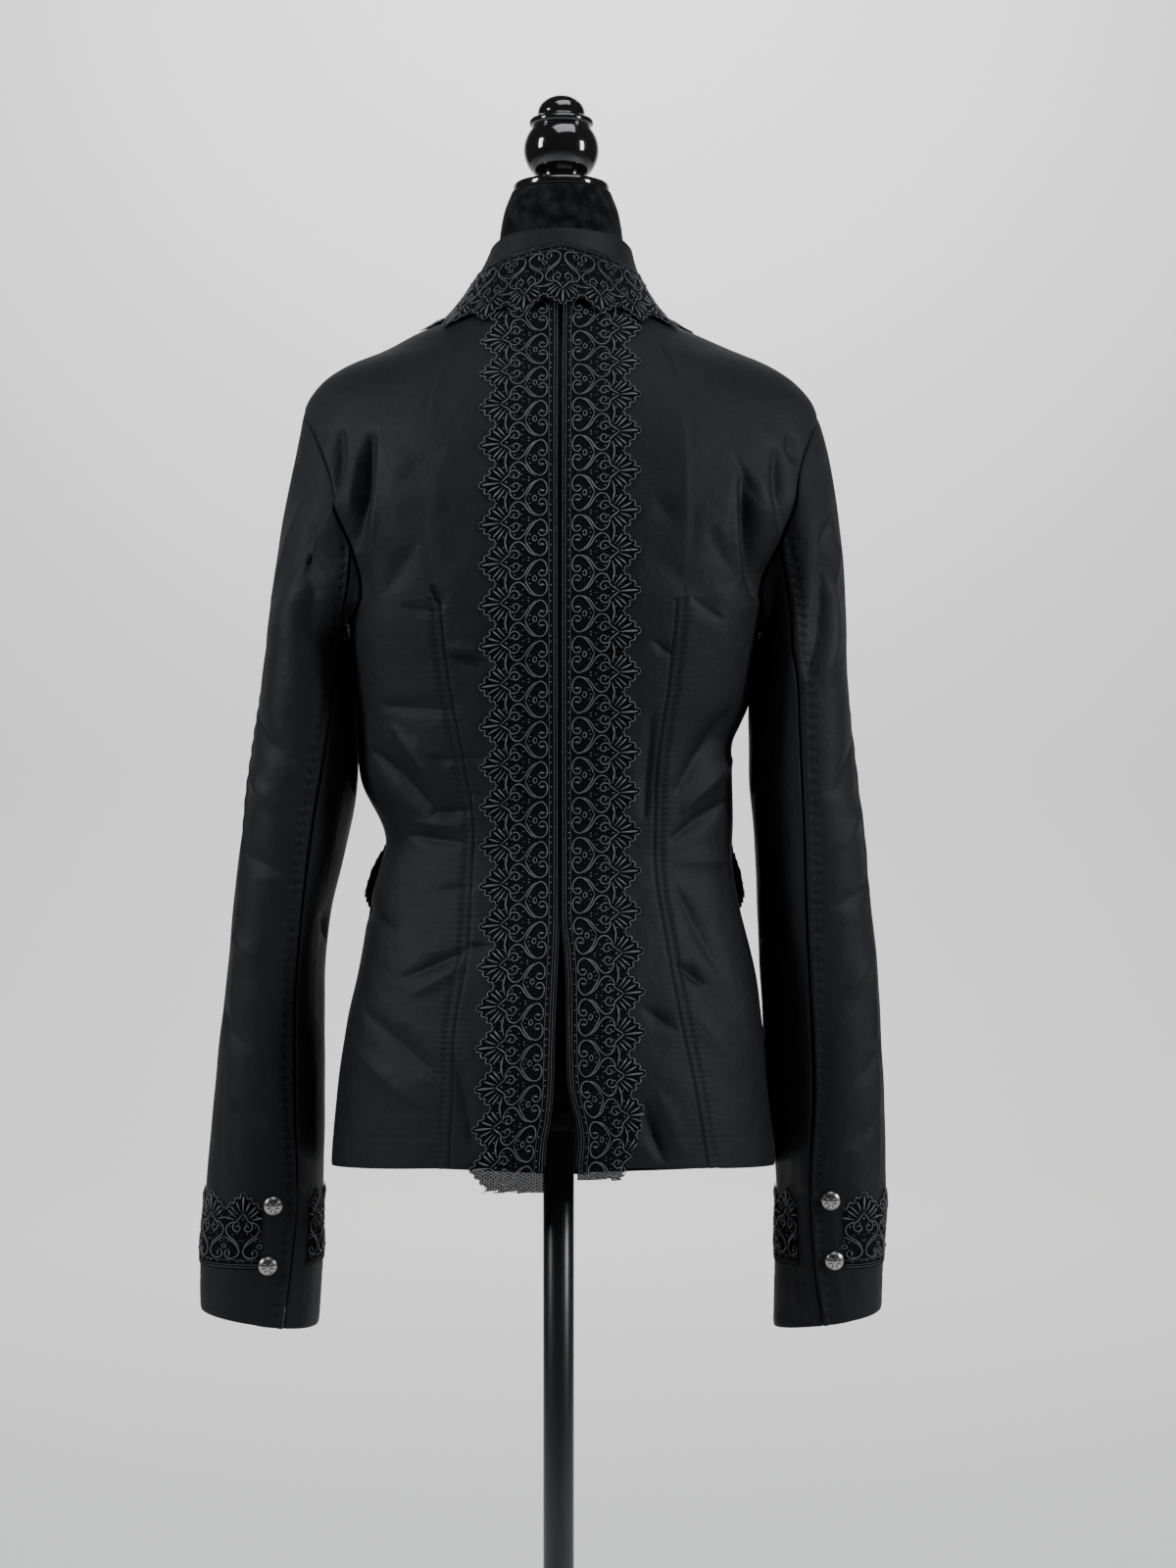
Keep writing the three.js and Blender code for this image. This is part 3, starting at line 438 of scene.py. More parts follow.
def link(name, data):
    thing = bpy.data.objects.new(name, data)
    bpy.context.scene.collection.objects.link(thing)
    return thing


def object_from(name, points, faces, uv=None, sides=4):
    mesh = bpy.data.meshes.new(name)
    mesh.from_pydata([], [], [])
    faces = np.asarray(faces, np.int64)
    used, faces = np.unique(faces, return_inverse=True)
    faces = faces.reshape(-1, sides)
    points = np.asarray(points, float).reshape(-1, 3)[used] / 1000
    count = len(faces)
    mesh.vertices.add(len(points))
    mesh.vertices.foreach_set("co", points.astype(np.float32).ravel())
    mesh.loops.add(count * sides)
    mesh.loops.foreach_set("vertex_index", faces.astype(np.int32).ravel())
    mesh.polygons.add(count)
    mesh.polygons.foreach_set("loop_start", np.arange(0, count * sides, sides, dtype=np.int32))
    mesh.polygons.foreach_set("use_smooth", np.full(count, True))
    mesh.update(calc_edges=True)
    if uv is not None:
        layer = mesh.uv_layers.new(name="UVMap")
        layer.data.foreach_set("uv", np.asarray(uv, np.float32)[used][faces.ravel()].ravel())
    mesh.validate()
    return link(name, mesh)


def quads(rows, columns, flip=False, wrap=False):
    j, i = np.meshgrid(np.arange(rows - 1), np.arange(columns if wrap else columns - 1), indexing="ij")
    k = (i + 1) % columns
    cells = [j * columns + i, j * columns + k, (j + 1) * columns + k, (j + 1) * columns + i]
    return np.stack(cells[::-1] if flip else cells, -1).reshape(-1, 4)


def steps(points, axis):
    return np.linalg.norm(np.diff(points, axis=axis), axis=-1)


def arc(points, axis):
    return steps(points, axis).sum(axis=axis)


def running(points, axis):
    """The length from the first point to each one, along one axis of a grid."""
    return np.insert(np.cumsum(steps(points, axis), axis), 0, 0, axis)


def cut_size(points):
    """Width, length and area of the flat piece that a grid of points was cut from, in metres."""
    width, length = arc(points, 1).max() / 1000, arc(points, 0).max() / 1000
    a, b = points[1:, 1:] - points[:-1, :-1], points[1:, :-1] - points[:-1, 1:]
    area = np.linalg.norm(np.cross(a, b), axis=-1).sum() / 2e6
    return (width, length), float(np.clip(area, 0.31 * width * length, width * length))


def shell(name, points, look, thick=1.1, band=5, flip=False):
    """points[row, column] is the outer face; its rim turns under by a few cells."""
    rows, columns = points.shape[:2]
    points = points.copy()
    n = unit(np.cross(np.gradient(points, axis=1), np.gradient(points, axis=0))) * (-1 if flip else 1)
    for k, depth in ((0, 0.55), (1, 0.12)):
        edge = np.zeros((rows, columns), bool)
        edge[k : rows - k, k : columns - k] = True
        edge[k + 1 : rows - k - 1, k + 1 : columns - k - 1] = False
        points[edge] -= n[edge] * depth
    inner = points - n * thick
    uv = np.stack([running(points, 1), running(points, 0)], -1).reshape(-1, 2) / 1000
    top = quads(rows, columns, flip)
    below = quads(rows, columns, not flip).reshape(rows - 1, columns - 1, 4) + rows * columns
    keep = np.ones((rows - 1, columns - 1), bool)
    keep[band : rows - 1 - band, band : columns - 1 - band] = False
    loop = np.concatenate([
        np.arange(columns), np.arange(1, rows) * columns + columns - 1,
        (rows - 1) * columns + np.arange(columns - 2, -1, -1), np.arange(rows - 2, 0, -1) * columns])
    nxt = np.roll(loop, -1)
    rim = np.stack([nxt, loop, loop + rows * columns, nxt + rows * columns], -1)
    rim = rim[:, ::-1] if flip else rim
    faces = np.concatenate([top, below[keep], rim])
    every = np.concatenate([points.reshape(-1, 3), inner.reshape(-1, 3)])
    thing = object_from(name, every, faces, np.concatenate([uv, uv]))
    made.append((thing, look, cut_size(points)))
    return thing


def lines(*stops):
    """Places along a line that crowd where they should: each stop is (value, steps to it)."""
    out = [np.array([stops[0][0]])]
    for (a, _), (b, count) in zip(stops[:-1], stops[1:]):
        out.append(np.linspace(a, b, count + 1)[1:])
    return np.concatenate(out)


# %% [markdown]
# ## Back panels
# Columns run from the centre seam or vent, crowd round the long dart, and end at the side seam or
# armhole. The dart is a stitched groove with a felled ridge beside it that puckers.

# %%
LOW = np.linspace(0, 1, 300)
ARM = np.linspace(180, 0, 66)[1:]
HIGH = np.linspace(0, 1, 26)[1:]


def panel_rows(side, loops):
    """Height, edge turn and share of the low part for each row of a body panel."""
    drop = DROP[side]
    low = [(None, 90.0, t) for t in LOW]
    mid = [(float(read(ARMHOLE, "height", a) - drop), float(read(ARMHOLE, side, a)), None) for a in loops]
    top = [(mix(SHOULDER - drop, NECKLINE, t), 90.0, None) for t in HIGH]
    return low + mid + top


def dart_detail(s, height):
    live = ease((986 - height) / 6)
    pull = np.sin(height * 1.5 + 1.6 * np.sin(height / 27)) * (0.75 + 0.25 * np.sin(height / 13))
    fell = 0.3 * ease((s + 0.2) / 0.9) * ease((7.4 - s) / 1.2)
    pits = (0.35 - 0.5 * pull) * bump(s - 6.6, 1.5)
    return live * (fell - 1.1 * bump(s, 0.8) - pits + 0.2 * pull * bump(s - 3, 11))


def back_panel(side):
    sign, under = SIGN[side], UNDERARM - DROP[side]
    first = lines((0, 0), (0.8, 30), (1.0, 10))
    rest = np.linspace(0, 12, 14)[1:]
    grid = []
    for height, edge, low in panel_rows(side, ARM):
        guide = height if height is not None else mix(590, under, low)
        start, dart = float(read(VENT, side, guide)), float(read(DART, side, guide))
        xs = np.concatenate([mix(start, dart, first), dart + sign * rest])
        turns = turn_at(xs, guide)
        last = abs(float(turns[-1]))
        guide_turn = max(57.0, last + 2)
        near = mix(last, guide_turn, np.linspace(0, 1, 25)[1:])
        far = mix(guide_turn, max(edge, guide_turn + 1), np.linspace(0, 1, 31)[1:])
        turns = np.concatenate([turns, sign * near, sign * far])
        hem = read(HEM, "height", np.abs(turns))
        level = np.full(len(turns), guide) if height is not None else mix(hem, under, low)
        s = sign * (body_base(turns, level)[..., 0] - dart)
        grid.append(body(turns, level, dart_detail(s, level) - 0.3 * bump(level - 22 - hem, 0.9)))
    return np.array(grid)


for side in SIGN:
    shell(f"cloth_back_{side}", back_panel(side), "sateen", flip=side == "left")

# %% [markdown]
# ## Fronts and lapels
# The right front laps over the left, and each lapel is turned back over its front.

# %%
def front_panel(side):
    sign, under = SIGN[side], UNDERARM - DROP[side]
    grid = []
    for height, edge, low in panel_rows(side, 360 - ARM):
        guide = height if height is not None else mix(557, under, low)
        far = float(turn_at(np.array(float(roll(side, guide))), guide, True))
        far = far if side == "right" else 360 - far
        turns = lines((edge, 0), (122, 18), (far, 39))
        hem = read(HEM, "height", turns)
        level = np.full(len(turns), guide) if height is not None else mix(hem, under, low)
        away = under_lap(side, body_base(sign * turns, level)[..., 0])
        grid.append(body(sign * turns, level, away - 0.3 * bump(level - 22 - hem, 0.9)))
    return np.array(grid)


for side in SIGN:
    shell(f"cloth_front_{side}", front_panel(side), "sateen", flip=side == "left")


def lapel(side):
    sign = SIGN[side]
    t, f = np.meshgrid(np.linspace(0, 1, 90), np.linspace(0, 1, 36), indexing="ij")
    inner, outer = mix(1172, BREAK + 6, t), mix(1102, BREAK + 6, t)
    start = roll(side, inner) + sign * 0.6
    tip = sign * read(LAPEL, "reach", outer) + (4 if side == "left" else 0)
    stop = np.maximum(tip, start + 3) if sign > 0 else np.minimum(tip, start - 3)
    height = mix(inner, outer, f)
    return front(side, mix(start, stop, f), height, 2.6 + 1.6 * bump(f, 0.12))


for side in SIGN:
    shell(f"cloth_lapel_{side}", lapel(side), "sateen", flip=side == "left")

# %% [markdown]
# ## Sleeves
# Each sleeve is an upper and an under piece. The upper piece laps the under one at the cuff's vent.

# %%
ROWS = np.concatenate([np.linspace(0, CAP, 60), np.linspace(CAP, CAP + LENGTH, 260)[1:]])
GAP = 0.15  # half the gap at a seam, in degrees
VENT_TOP = 564  # where the cuff's vent begins


def sleeve_piece(side, upper):
    grid = []
    for row in ROWS:
        seam = float(seam_angle(side, np.array(row)))
        if upper:
            angle = lines((FRONT_SEAM + GAP, 0), (seam - 12, 55), (seam - GAP, 13))
        else:
            angle = lines((seam + GAP, 0), (seam + 12, 13), (FRONT_SEAM + 360 - GAP, 39))
        lift = 7 * (1 + np.cos(np.radians(angle)))
        rows = row - ease(row - CAP - LENGTH + 1) * lift * LENGTH / (TOP - CUFF)
        vent = ease((VENT_TOP - height_at(np.maximum(rows, CAP))) / 8) * (rows > CAP)
        s = (angle - seam) * 0.8
        out = vent * (0.9 * ease((s + 22) / 3) if upper else -1.0 * ease((14 - s) / 4))
        grid.append(sleeve(side, angle, rows, out - 0.3 * bump((rows - 16.1) * 41, 0.9)))
    return np.array(grid)


for side in SIGN:
    for name, upper in (("upper", True), ("under", False)):
        shell(f"cloth_sleeve_{name}_{side}", sleeve_piece(side, upper), "sateen", flip=side == "left")

# %% [markdown]
# ## Collar
# The fall curls over the stand's top edge and spreads to the shoulders.

# %%
END = 138.0  # how far round the fall reaches


def collar_fall():
    turns, v = np.meshgrid(np.linspace(-END, END, 200), np.linspace(0.03, 1.0, 40))
    lip = collar_base(turns[0], 0 * turns[0])
    inward = unit(xyz(CENTRE - lip[:, 0], -lip[:, 1], 0))
    curl = []
    for k in np.linspace(0, 0.96, 6):
        curl.append(lip + inward * mix(2.6, 0, k) + [0, 0, 1.4 * math.sqrt(1 - k * k)])
    return np.concatenate([curl, collar(turns, v)])


shell("cloth_collar_fall", collar_fall(), "sateen", thick=1.3, flip=True)


def collar_stand():
    turns, t = np.meshgrid(np.linspace(-115, 115, 120), np.linspace(0, 1, 14))
    foot, head = body_base(turns, np.full(turns.shape, NECKLINE)), collar_base(turns, 0 * turns)
    inward = unit(xyz(CENTRE - head[..., 0], -head[..., 1], 0))
    foot[..., 2] += 0.35
    head = head + inward * 2.4 - np.array([0, 0, 1.7])
    return foot + (head - foot) * t[..., None]


shell("cloth_collar_stand", collar_stand(), "sateen", band=2)

# %% [markdown]
# ## Pocket flaps
# A flap lies on its front and stands free at its rear corner.

# %%
SEAT = {"left": 1.7, "right": 0.9}
FLAP = (96, 142)  # its first and last turn


def flap(side, turn, height, out):
    free = 4 * ease((104 - turn) / 9) * ease((812 - height) / 30)
    away = under_lap(side, body_base(SIGN[side] * turn, height)[..., 0])
    return body(SIGN[side] * turn, height, out + free + away + SEAT[side])


for side in SIGN:
    t, h = np.meshgrid(np.linspace(*FLAP, 60), np.linspace(810, 770, 26))
    shell(f"cloth_pocket_flap_{side}", flap(side, t, h, 1.5), "sateen", flip=side == "right", band=3)

# %% [markdown]
# ## Geometry Nodes
# Two small trees do all the repeating. One sets a motif along a straight line at the lace's pitch. The
# other sets a stitch at even steps along every thread line. Both realize what they make.

# %%
class Tree:
    def __init__(self, name, **inputs):
        self.group = bpy.data.node_groups.new(name, "GeometryNodeTree")
        face = self.group.interface
        face.new_socket("Geometry", in_out="INPUT", socket_type="NodeSocketGeometry")
        self.ids = {}
        for key, kind in inputs.items():
            made_socket = face.new_socket(key, in_out="INPUT", socket_type=kind)
            self.ids[key] = made_socket.identifier
        face.new_socket("Geometry", in_out="OUTPUT", socket_type="NodeSocketGeometry")
        self.start = self.group.nodes.new("NodeGroupInput")
        self.end = self.group.nodes.new("NodeGroupOutput")

    def node(self, kind, links=None, values=None, **settings):
        made_node = self.group.nodes.new(kind)
        for key, value in settings.items():
            setattr(made_node, key, value)
        for key, value in (values or {}).items():
            made_node.inputs[key].default_value = value
        for key, source in (links or {}).items():
            self.group.links.new(source, made_node.inputs[key])
        return made_node.outputs

    def finish(self, geometry, material):
        real = self.node("GeometryNodeRealizeInstances", {"Geometry": geometry})
        done = self.node("GeometryNodeSetMaterial", {"Geometry": real["Geometry"], "Material": material})
        self.group.links.new(done["Geometry"], self.end.inputs["Geometry"])

    def apply(self, thing, name, **values):
        """Runs the tree on an object and returns the plain mesh that it makes."""
        modifier = thing.modifiers.new("Nodes", "NODES")
        modifier.node_group = self.group
        for key, value in values.items():
            modifier[self.ids[key]] = value
        view = thing.evaluated_get(bpy.context.evaluated_depsgraph_get())
        mesh = bpy.data.meshes.new_from_object(view)
        mesh.name = name
        thing.modifiers.clear()
        return mesh


def repeat_tree():
    tree = Tree("Repeat", Motif="NodeSocketObject", Count="NodeSocketInt", Pitch="NodeSocketFloat",
                Material="NodeSocketMaterial")
    step = tree.node("ShaderNodeCombineXYZ", {"X": tree.start.outputs["Pitch"]})
    line = tree.node("GeometryNodeMeshLine", {"Count": tree.start.outputs["Count"], "Offset": step[0]})
    motif = tree.node("GeometryNodeObjectInfo", {"Object": tree.start.outputs["Motif"]})
    many = tree.node("GeometryNodeInstanceOnPoints", {"Points": line["Mesh"], "Instance": motif["Geometry"]})
    tree.finish(many["Instances"], tree.start.outputs["Material"])
    return tree


def stitch_tree():
    tree = Tree("Stitches", Spacing="NodeSocketFloat", Length="NodeSocketFloat",
                Radius="NodeSocketFloat", Material="NodeSocketMaterial")
    inputs = tree.start.outputs
    curve = tree.node("GeometryNodeMeshToCurve", {"Mesh": inputs["Geometry"]})
    even = tree.node("GeometryNodeResampleCurve", {"Curve": curve["Curve"], "Length": inputs["Spacing"]},
                     mode="LENGTH")
    along = tree.node("GeometryNodeInputTangent")
    turn = tree.node("FunctionNodeAlignRotationToVector", {"Vector": along["Tangent"]}, axis="Z")
    thread = tree.node("GeometryNodeMeshCylinder", {"Radius": inputs["Radius"], "Depth": inputs["Length"]},
                       {"Vertices": 5})
    many = tree.node("GeometryNodeInstanceOnPoints", {"Points": even["Curve"], "Instance": thread["Mesh"],
                                                      "Rotation": turn["Rotation"]})
    tree.finish(many["Instances"], inputs["Material"])
    return tree


# %% [markdown]
# ## Materials
# Shader sums are written as plain Python sums of sockets.

# %%
class Value:
    """A shader socket that takes part in sums."""

    def __init__(self, tree, socket):
        self.tree, self.socket = tree, socket

    def node(self, kind, links=None, output=0, **settings):
        made_node = self.tree.nodes.new(kind)
        for key, value in settings.items():
            setattr(made_node, key, value)
        for key, value in (links or {}).items():
            if isinstance(value, Value):
                self.tree.links.new(value.socket, made_node.inputs[key])
            else:
                made_node.inputs[key].default_value = value
        return Value(self.tree, made_node.outputs[output])

    def maths(self, operation, *values):
        return self.node("ShaderNodeMath", dict(enumerate(values)), operation=operation)

    def __pow__(self, other):
        return self.maths("POWER", self, other)

    def sin(self):
        return self.maths("SINE", self)

    def step(self, low, high, start=0.0, end=1.0):
        return self.node("ShaderNodeMapRange", {0: self, 1: low, 2: high, 3: start, 4: end},
                         interpolation_type="SMOOTHSTEP")

    def noise(self, scale, detail=2.0):
        return self.node("ShaderNodeTexNoise", {"Vector": self, "Scale": scale, "Detail": detail})

    def part(self, name):
        split = self.node("ShaderNodeSeparateXYZ", {0: self})
        return Value(self.tree, split.socket.node.outputs[name])


for word, operation in {"add": "ADD", "sub": "SUBTRACT", "mul": "MULTIPLY", "truediv": "DIVIDE"}.items():
    setattr(Value, f"__{word}__", lambda self, other, do=operation: self.maths(do, self, other))
    setattr(Value, f"__r{word}__", lambda self, other, do=operation: self.maths(do, other, self))


class Look:
    """A material on one Principled shader, with its starting sockets."""

    def __init__(self, name, colour, roughness, **constants):
        self.material = bpy.data.materials.new(name)
        self.material.use_nodes = True
        tree = self.material.node_tree
        self.shader = tree.nodes["Principled BSDF"]
        self.shader.inputs["Base Color"].default_value = (*colour, 1)
        self.shader.inputs["Roughness"].default_value = roughness
        for key, value in constants.items():
            self.shader.inputs[key.replace("_", " ")].default_value = value
        place = tree.nodes.new("ShaderNodeTexCoord")
        self.place, self.uv = Value(tree, place.outputs["Object"]), Value(tree, place.outputs["UV"])

    def flat(self):
        """Places across and along the flat piece, in mm."""
        return self.uv.part("X") * 1000.0, self.uv.part("Y") * 1000.0

    def set(self, name, value):
        self.material.node_tree.links.new(value.socket, self.shader.inputs[name])

    def shade(self, low, high, amount):
        blend = self.place.node("ShaderNodeMix", {0: amount, 6: (*low, 1), 7: (*high, 1)}, data_type="RGBA")
        blend = Value(blend.tree, blend.socket.node.outputs[2])
        self.set("Base Color", blend)

    def relief(self, height, distance, strength=1.0):
        bumps = {"Height": height, "Distance": distance, "Strength": strength}
        self.set("Normal", self.place.node("ShaderNodeBump", bumps))


def sateen():
    look = Look("sateen", (0.005, 0.005, 0.0062), 0.55, Specular_IOR_Level=0.22)
    across, along = look.flat()
    weave = (across * 8.2 + along * 2.6).sin() * 0.5 + (along * 9.4).sin() * 0.3
    slub = look.place.noise(420.0, 3.0)
    worn = look.place.noise(17.0, 2.0)
    crumple = look.place.noise(38.0, 4.0) * 0.8 + look.place.noise(130.0, 3.0) * 0.14
    look.relief(weave * 0.02 + slub * 0.05 + crumple, 0.003, 0.85)
    look.set("Roughness", 0.53 + worn * 0.12 + slub * 0.06)
    look.shade((0.0022, 0.0022, 0.003), (0.005, 0.005, 0.0066), worn)
    return look.material


def corded():
    look = Look("lace_cord", (0.042, 0.042, 0.047), 0.3, Specular_IOR_Level=1.0)
    across, along = look.flat()
    twist = (along * 7.0 + across * 6.0).sin()
    look.relief(twist + look.place.noise(900.0) * 0.6, 0.00012, 0.7)
    return look.material


def netted():
    """Fine net: lighter threads over gaps painted near-black as painted shade between the threads; where it
    hangs below the hem, its gaps are slightly see-through.
    """
    look = Look("lace_net", (0.01, 0.01, 0.011), 0.8, Specular_IOR_Level=0.03)
    across, along = look.flat()
    one = (across * 3.2).sin()
    two = (across * 1.6 + along * 2.77).sin()
    three = (along * 2.77 - across * 1.6).sin()
    thread = (one * two + two * three + three * one).step(-0.7, 0.25, 1.0, 0.0)
    free = look.place.part("Z").step(0.5885, 0.5905, 1.0, 0.0)
    look.set("Alpha", 1.0 - free * (1.0 - thread) * 0.1)
    # Painted shade: the gaps between threads are coloured near-black, darker than the cloth beneath, for the
    # shadow among the threads.
    look.shade((0.0003, 0.0003, 0.0004), (0.012, 0.012, 0.0138), thread ** 2.0)
    look.relief(thread, 0.0003, 0.8)
    return look.material


def velvet():
    look = Look("velvet", (0.003, 0.003, 0.0033), 0.95, Specular_IOR_Level=0.1, Sheen_Weight=0.06,
                Sheen_Roughness=0.3)
    # Painted sheen: lighter patches, mottled at random, stand in for the light that the nap catches.
    painted_nap_sheen = look.place.noise(90.0, 4.0).step(0.35, 0.7)
    look.shade((0.0012, 0.0012, 0.0014), (0.012, 0.0118, 0.0135), painted_nap_sheen)
    look.relief(look.place.noise(1400.0, 2.0), 0.00025, 0.4)
    return look.material


def lacquer():
    look = Look("black_wood", (0.006, 0.0055, 0.005), 0.1, Coat_Weight=0.6, Coat_Roughness=0.04)
    grain = look.place.noise(34.0, 3.0)
    look.set("Roughness", 0.09 + grain * 0.06)
    look.relief(grain, 0.00008, 0.35)
    return look.material


def satin_paint():
    look = Look("black_metal", (0.007, 0.007, 0.008), 0.32)
    fine = look.place.noise(700.0, 2.0)
    look.set("Roughness", 0.27 + fine * 0.1)
    look.relief(fine, 0.00004, 0.3)
    return look.material


def antique():
    look = Look("silver", (0.5, 0.48, 0.44), 0.34, Metallic=1.0)
    worn = look.uv.part("X")
    tarnish = (worn + look.place.noise(600.0, 3.0) * 0.25).step(0.15, 0.75)
    look.shade((0.015, 0.014, 0.013), (0.36, 0.35, 0.33), tarnish)
    look.set("Roughness", 0.5 - tarnish * 0.25)
    return look.material


LOOKS = {"sateen": sateen(), "cord": corded(), "net": netted(), "velvet": velvet(),
         "black_wood": lacquer(), "black_metal": satin_paint(), "silver": antique()}

# %% [markdown]
# ## Lace
# One repeat of the galloon is a closed heart, a curve that takes a palmette in its arms, scrolls, seeds
# and a lobed scallop, beside three foundation cords. Places are (out from the straight edge, along from
# the middle of the palmette). What stands beside the palmette is mirrored.

# %%
HEART = [(23.4, 14), (21, 8.8), (16.9, 3.4), (12.2, 1.5), (8.8, 4.2), (7.9, 9.2), (9.8, 12.6), (12.8, 12.4),
         (14, 10.2), (13, 8.8)]
EMBRACE = [(15.6, 1.6), (18.8, 3.6), (21.6, 6.6), (24, 10.4), (27.6, 12.9), (31.6, 11.9), (34, 8.2),
           (34.3, 5.2), (37.2, 2.8), (41, 0)]
SCROLL = [(34, 6.2), (31.8, 7.4), (29.2, 7), (27.5, 4.9), (28, 2.6), (30, 1.7), (31.8, 2.8), (31.4, 4.6),
          (29.9, 4.7)]
RING = [(15.2, 14), (15.6, 12.6), (16.6, 12.1), (17.6, 12.8), (17.9, 14), (17.6, 15.3), (16.6, 15.9),
        (15.6, 15.3), (15.2, 14)]
BAR = [(9.6, 9.3), (13.2, 9)]
SCALLOP = [(55.8, 0), (55.2, 1.7), (52.8, 2.5), (51.4, 3.1), (52.2, 4.7), (51.3, 6.3), (49, 6.8),
           (47.8, 7.5), (48.5, 9.4), (47.4, 10.9), (45.2, 11.1), (44.5, 11.9), (44.6, 13.2), (42.8, 14)]
RIB = [(41.8, 0), (46, 0), (53.8, 0)]
SIDE_RIBS = [[(41.6, 1.9), (45, 3.2), (49.4, 5.2)], [(39.6, 3.4), (42.4, 6.2), (46, 9.6)],
             [(37.6, 4.9), (40, 7.8), (43, 11.6)], [(35.8, 6.6), (36.8, 10.2), (37.6, 14.6)]]
SEEDS = [(24.6, 0), (26, 4), (24.8, 7.4), (36.6, 0.2), (20.8, 1), (30.8, 9.8), (19.8, 11), (20.6, 14),
         (5.4, 2), (5.2, 9), (38.6, 10.4), (33.2, 3)]
FOOTING = [1.3, 3.1, 6.6]
RADIUS = {"heart": 0.42, "scallop": 0.36, "ring": 0.38, "bar": 0.8, "rib": 0.85, "side_rib": 0.62,
          "seed": 0.5, "footing": 0.27}


def smooth_line(points, spacing):
    """A curve through the points, with about even steps."""
    p = np.array([points[0], *points, points[-1]], float)
    out = []
    for a, b, c, d in zip(p[:-3], p[1:-2], p[2:-1], p[3:]):
        count = max(int(round(np.linalg.norm(c - b) / spacing)), 1)
        t = np.arange(count)[:, None] / count
        out.append(0.5 * (2 * b + (c - a) * t + (2 * a - 5 * b + 4 * c - d) * t**2
                          + (3 * b - a - 3 * c + d) * t**3))
    return np.concatenate([*out, p[-1:]])


def tube(line, radius, shape, sides=6):
    """A cord lying flat along a line of (out, along) places: points are (along, out, height)."""
    step = unit(np.gradient(line, axis=0))
    side = np.stack([-step[:, 1], step[:, 0]], -1)
    t = np.linspace(0, 1, len(line))
    thick = {"cord": np.minimum(1, 0.4 + 6 * np.minimum(t, 1 - t)),
             "rib": 0.3 + 0.7 * np.sin(math.pi * t**1.5),
             "bead": 0.72 + 0.28 * np.cos(math.pi * np.arange(len(line)))}[shape] * radius
    points = []
    for k in range(sides):
        a = 2 * math.pi * (k + 0.5) / sides
        flat = line + side * (thick * math.cos(a))[:, None]
        points.append(np.stack([flat[:, 1], flat[:, 0], 0.2 + thick * (0.9 + 1.1 * math.sin(a))], -1))
    points = np.stack(points, 1)
    faces = quads(len(line), sides, wrap=True)
    uv = np.stack(np.broadcast_arrays(np.arange(sides) * 0.5, running(line, 0)[:, None]), -1) / 1000
    return points.reshape(-1, 3), faces, uv.reshape(-1, 2)


def motif(name, start):
    """One repeat, without what lies nearer to the straight edge than start."""
    cords = []

    def add(kind, places, spacing=1.3, shape="cord", sign=1):
        cords.append((smooth_line([(u, sign * v) for u, v in places], spacing), RADIUS[kind], shape))

    for sign in (-1, 1):
        for places in (HEART, EMBRACE, SCROLL):
            add("heart", places, sign=sign)
        add("scallop", SCALLOP, 0.8, sign=sign)
        add("bar", BAR, 0.8, "rib", sign)
        for places in SIDE_RIBS:
            add("side_rib", places, 0.9, "rib", sign)
        for u, v in SEEDS:
            add("seed", [(u - 0.7, v), (u + 0.7, v)], 0.5, "rib", sign)
    add("rib", RIB, 0.9, "rib")
    add("ring", RING, 0.8)
    for u in [u for u in FOOTING if u > start]:
        add("footing", [(u, -PITCH / 2), (u, PITCH / 2)], 0.62, "bead")
    points, faces, uvs, count = [], [], [], 0
    for line, radius, shape in cords:
        line = line[line[:, 0] >= start]
        if len(line) > 1:
            p, f, uv = tube(line, radius, shape)
            points.append(p), faces.append(f + count), uvs.append(uv)
            count += len(p)
    return object_from(name, np.concatenate(points), np.concatenate(faces), np.concatenate(uvs))


def scallop(v):
    """How far out the lace reaches, at a place along from the palmette's middle."""
    places = np.array(SCALLOP)
    return np.interp(np.abs(v), places[:, 1], places[:, 0]) + 0.2


NET_SHARE = 0.86  # of a strip's rectangle, inside its scallops
REPEAT = repeat_tree()
MOTIFS = {0: motif("motif_whole", 0), 14: motif("motif_edge", 14)}


def lace(name, count, place, start=0, keep=None, shift=0.0):
    """Lays a strip of lace: place(along, out, height) gives points for places in mm."""
    hold = link("hold", bpy.data.meshes.new("hold"))
    strip = REPEAT.apply(hold, name, Motif=MOTIFS[start], Count=count, Pitch=PITCH / 1000,
                         Material=LOOKS["cord"])
    bpy.data.objects.remove(hold)
    flat = np.empty(len(strip.vertices) * 3, np.float32)
    strip.vertices.foreach_get("co", flat)
    flat = flat.reshape(-1, 3).astype(float) * 1000
    along = flat[:, 0] + PITCH * (0.5 + shift)
    cords = link(f"lace_cords_{name}", strip)
    laid = place(along, flat[:, 1], flat[:, 2]) / 1000
    strip.vertices.foreach_set("co", laid.astype(np.float32).ravel())
    strip.update()
    if keep is not None:
        trim(cords, ~keep(along, flat[:, 1]))
    v = np.arange(0, count * PITCH / 2 + 1) * 2.0
    t, reach = np.meshgrid(v, np.linspace(0, 1, 18 if start == 0 else 13))
    edge = scallop(t % PITCH - PITCH / 2)
    u = start + (edge - start) * reach
    points = place(t + PITCH * shift, u, 0.18 + 0 * u)
    uv = np.stack([u, t], -1).reshape(-1, 2) / 1000
    net = object_from(f"lace_net_{name}", points, quads(*t.shape), uv)
    if keep is not None:
        trim(net, ~keep(t.ravel() + PITCH * shift, u.ravel()))
    size = ((LACE_WIDTH - start) / 1000, count * PITCH / 1000)
    made.append((net, "net", (size, NET_SHARE * size[0] * size[1])))
    return net, cords


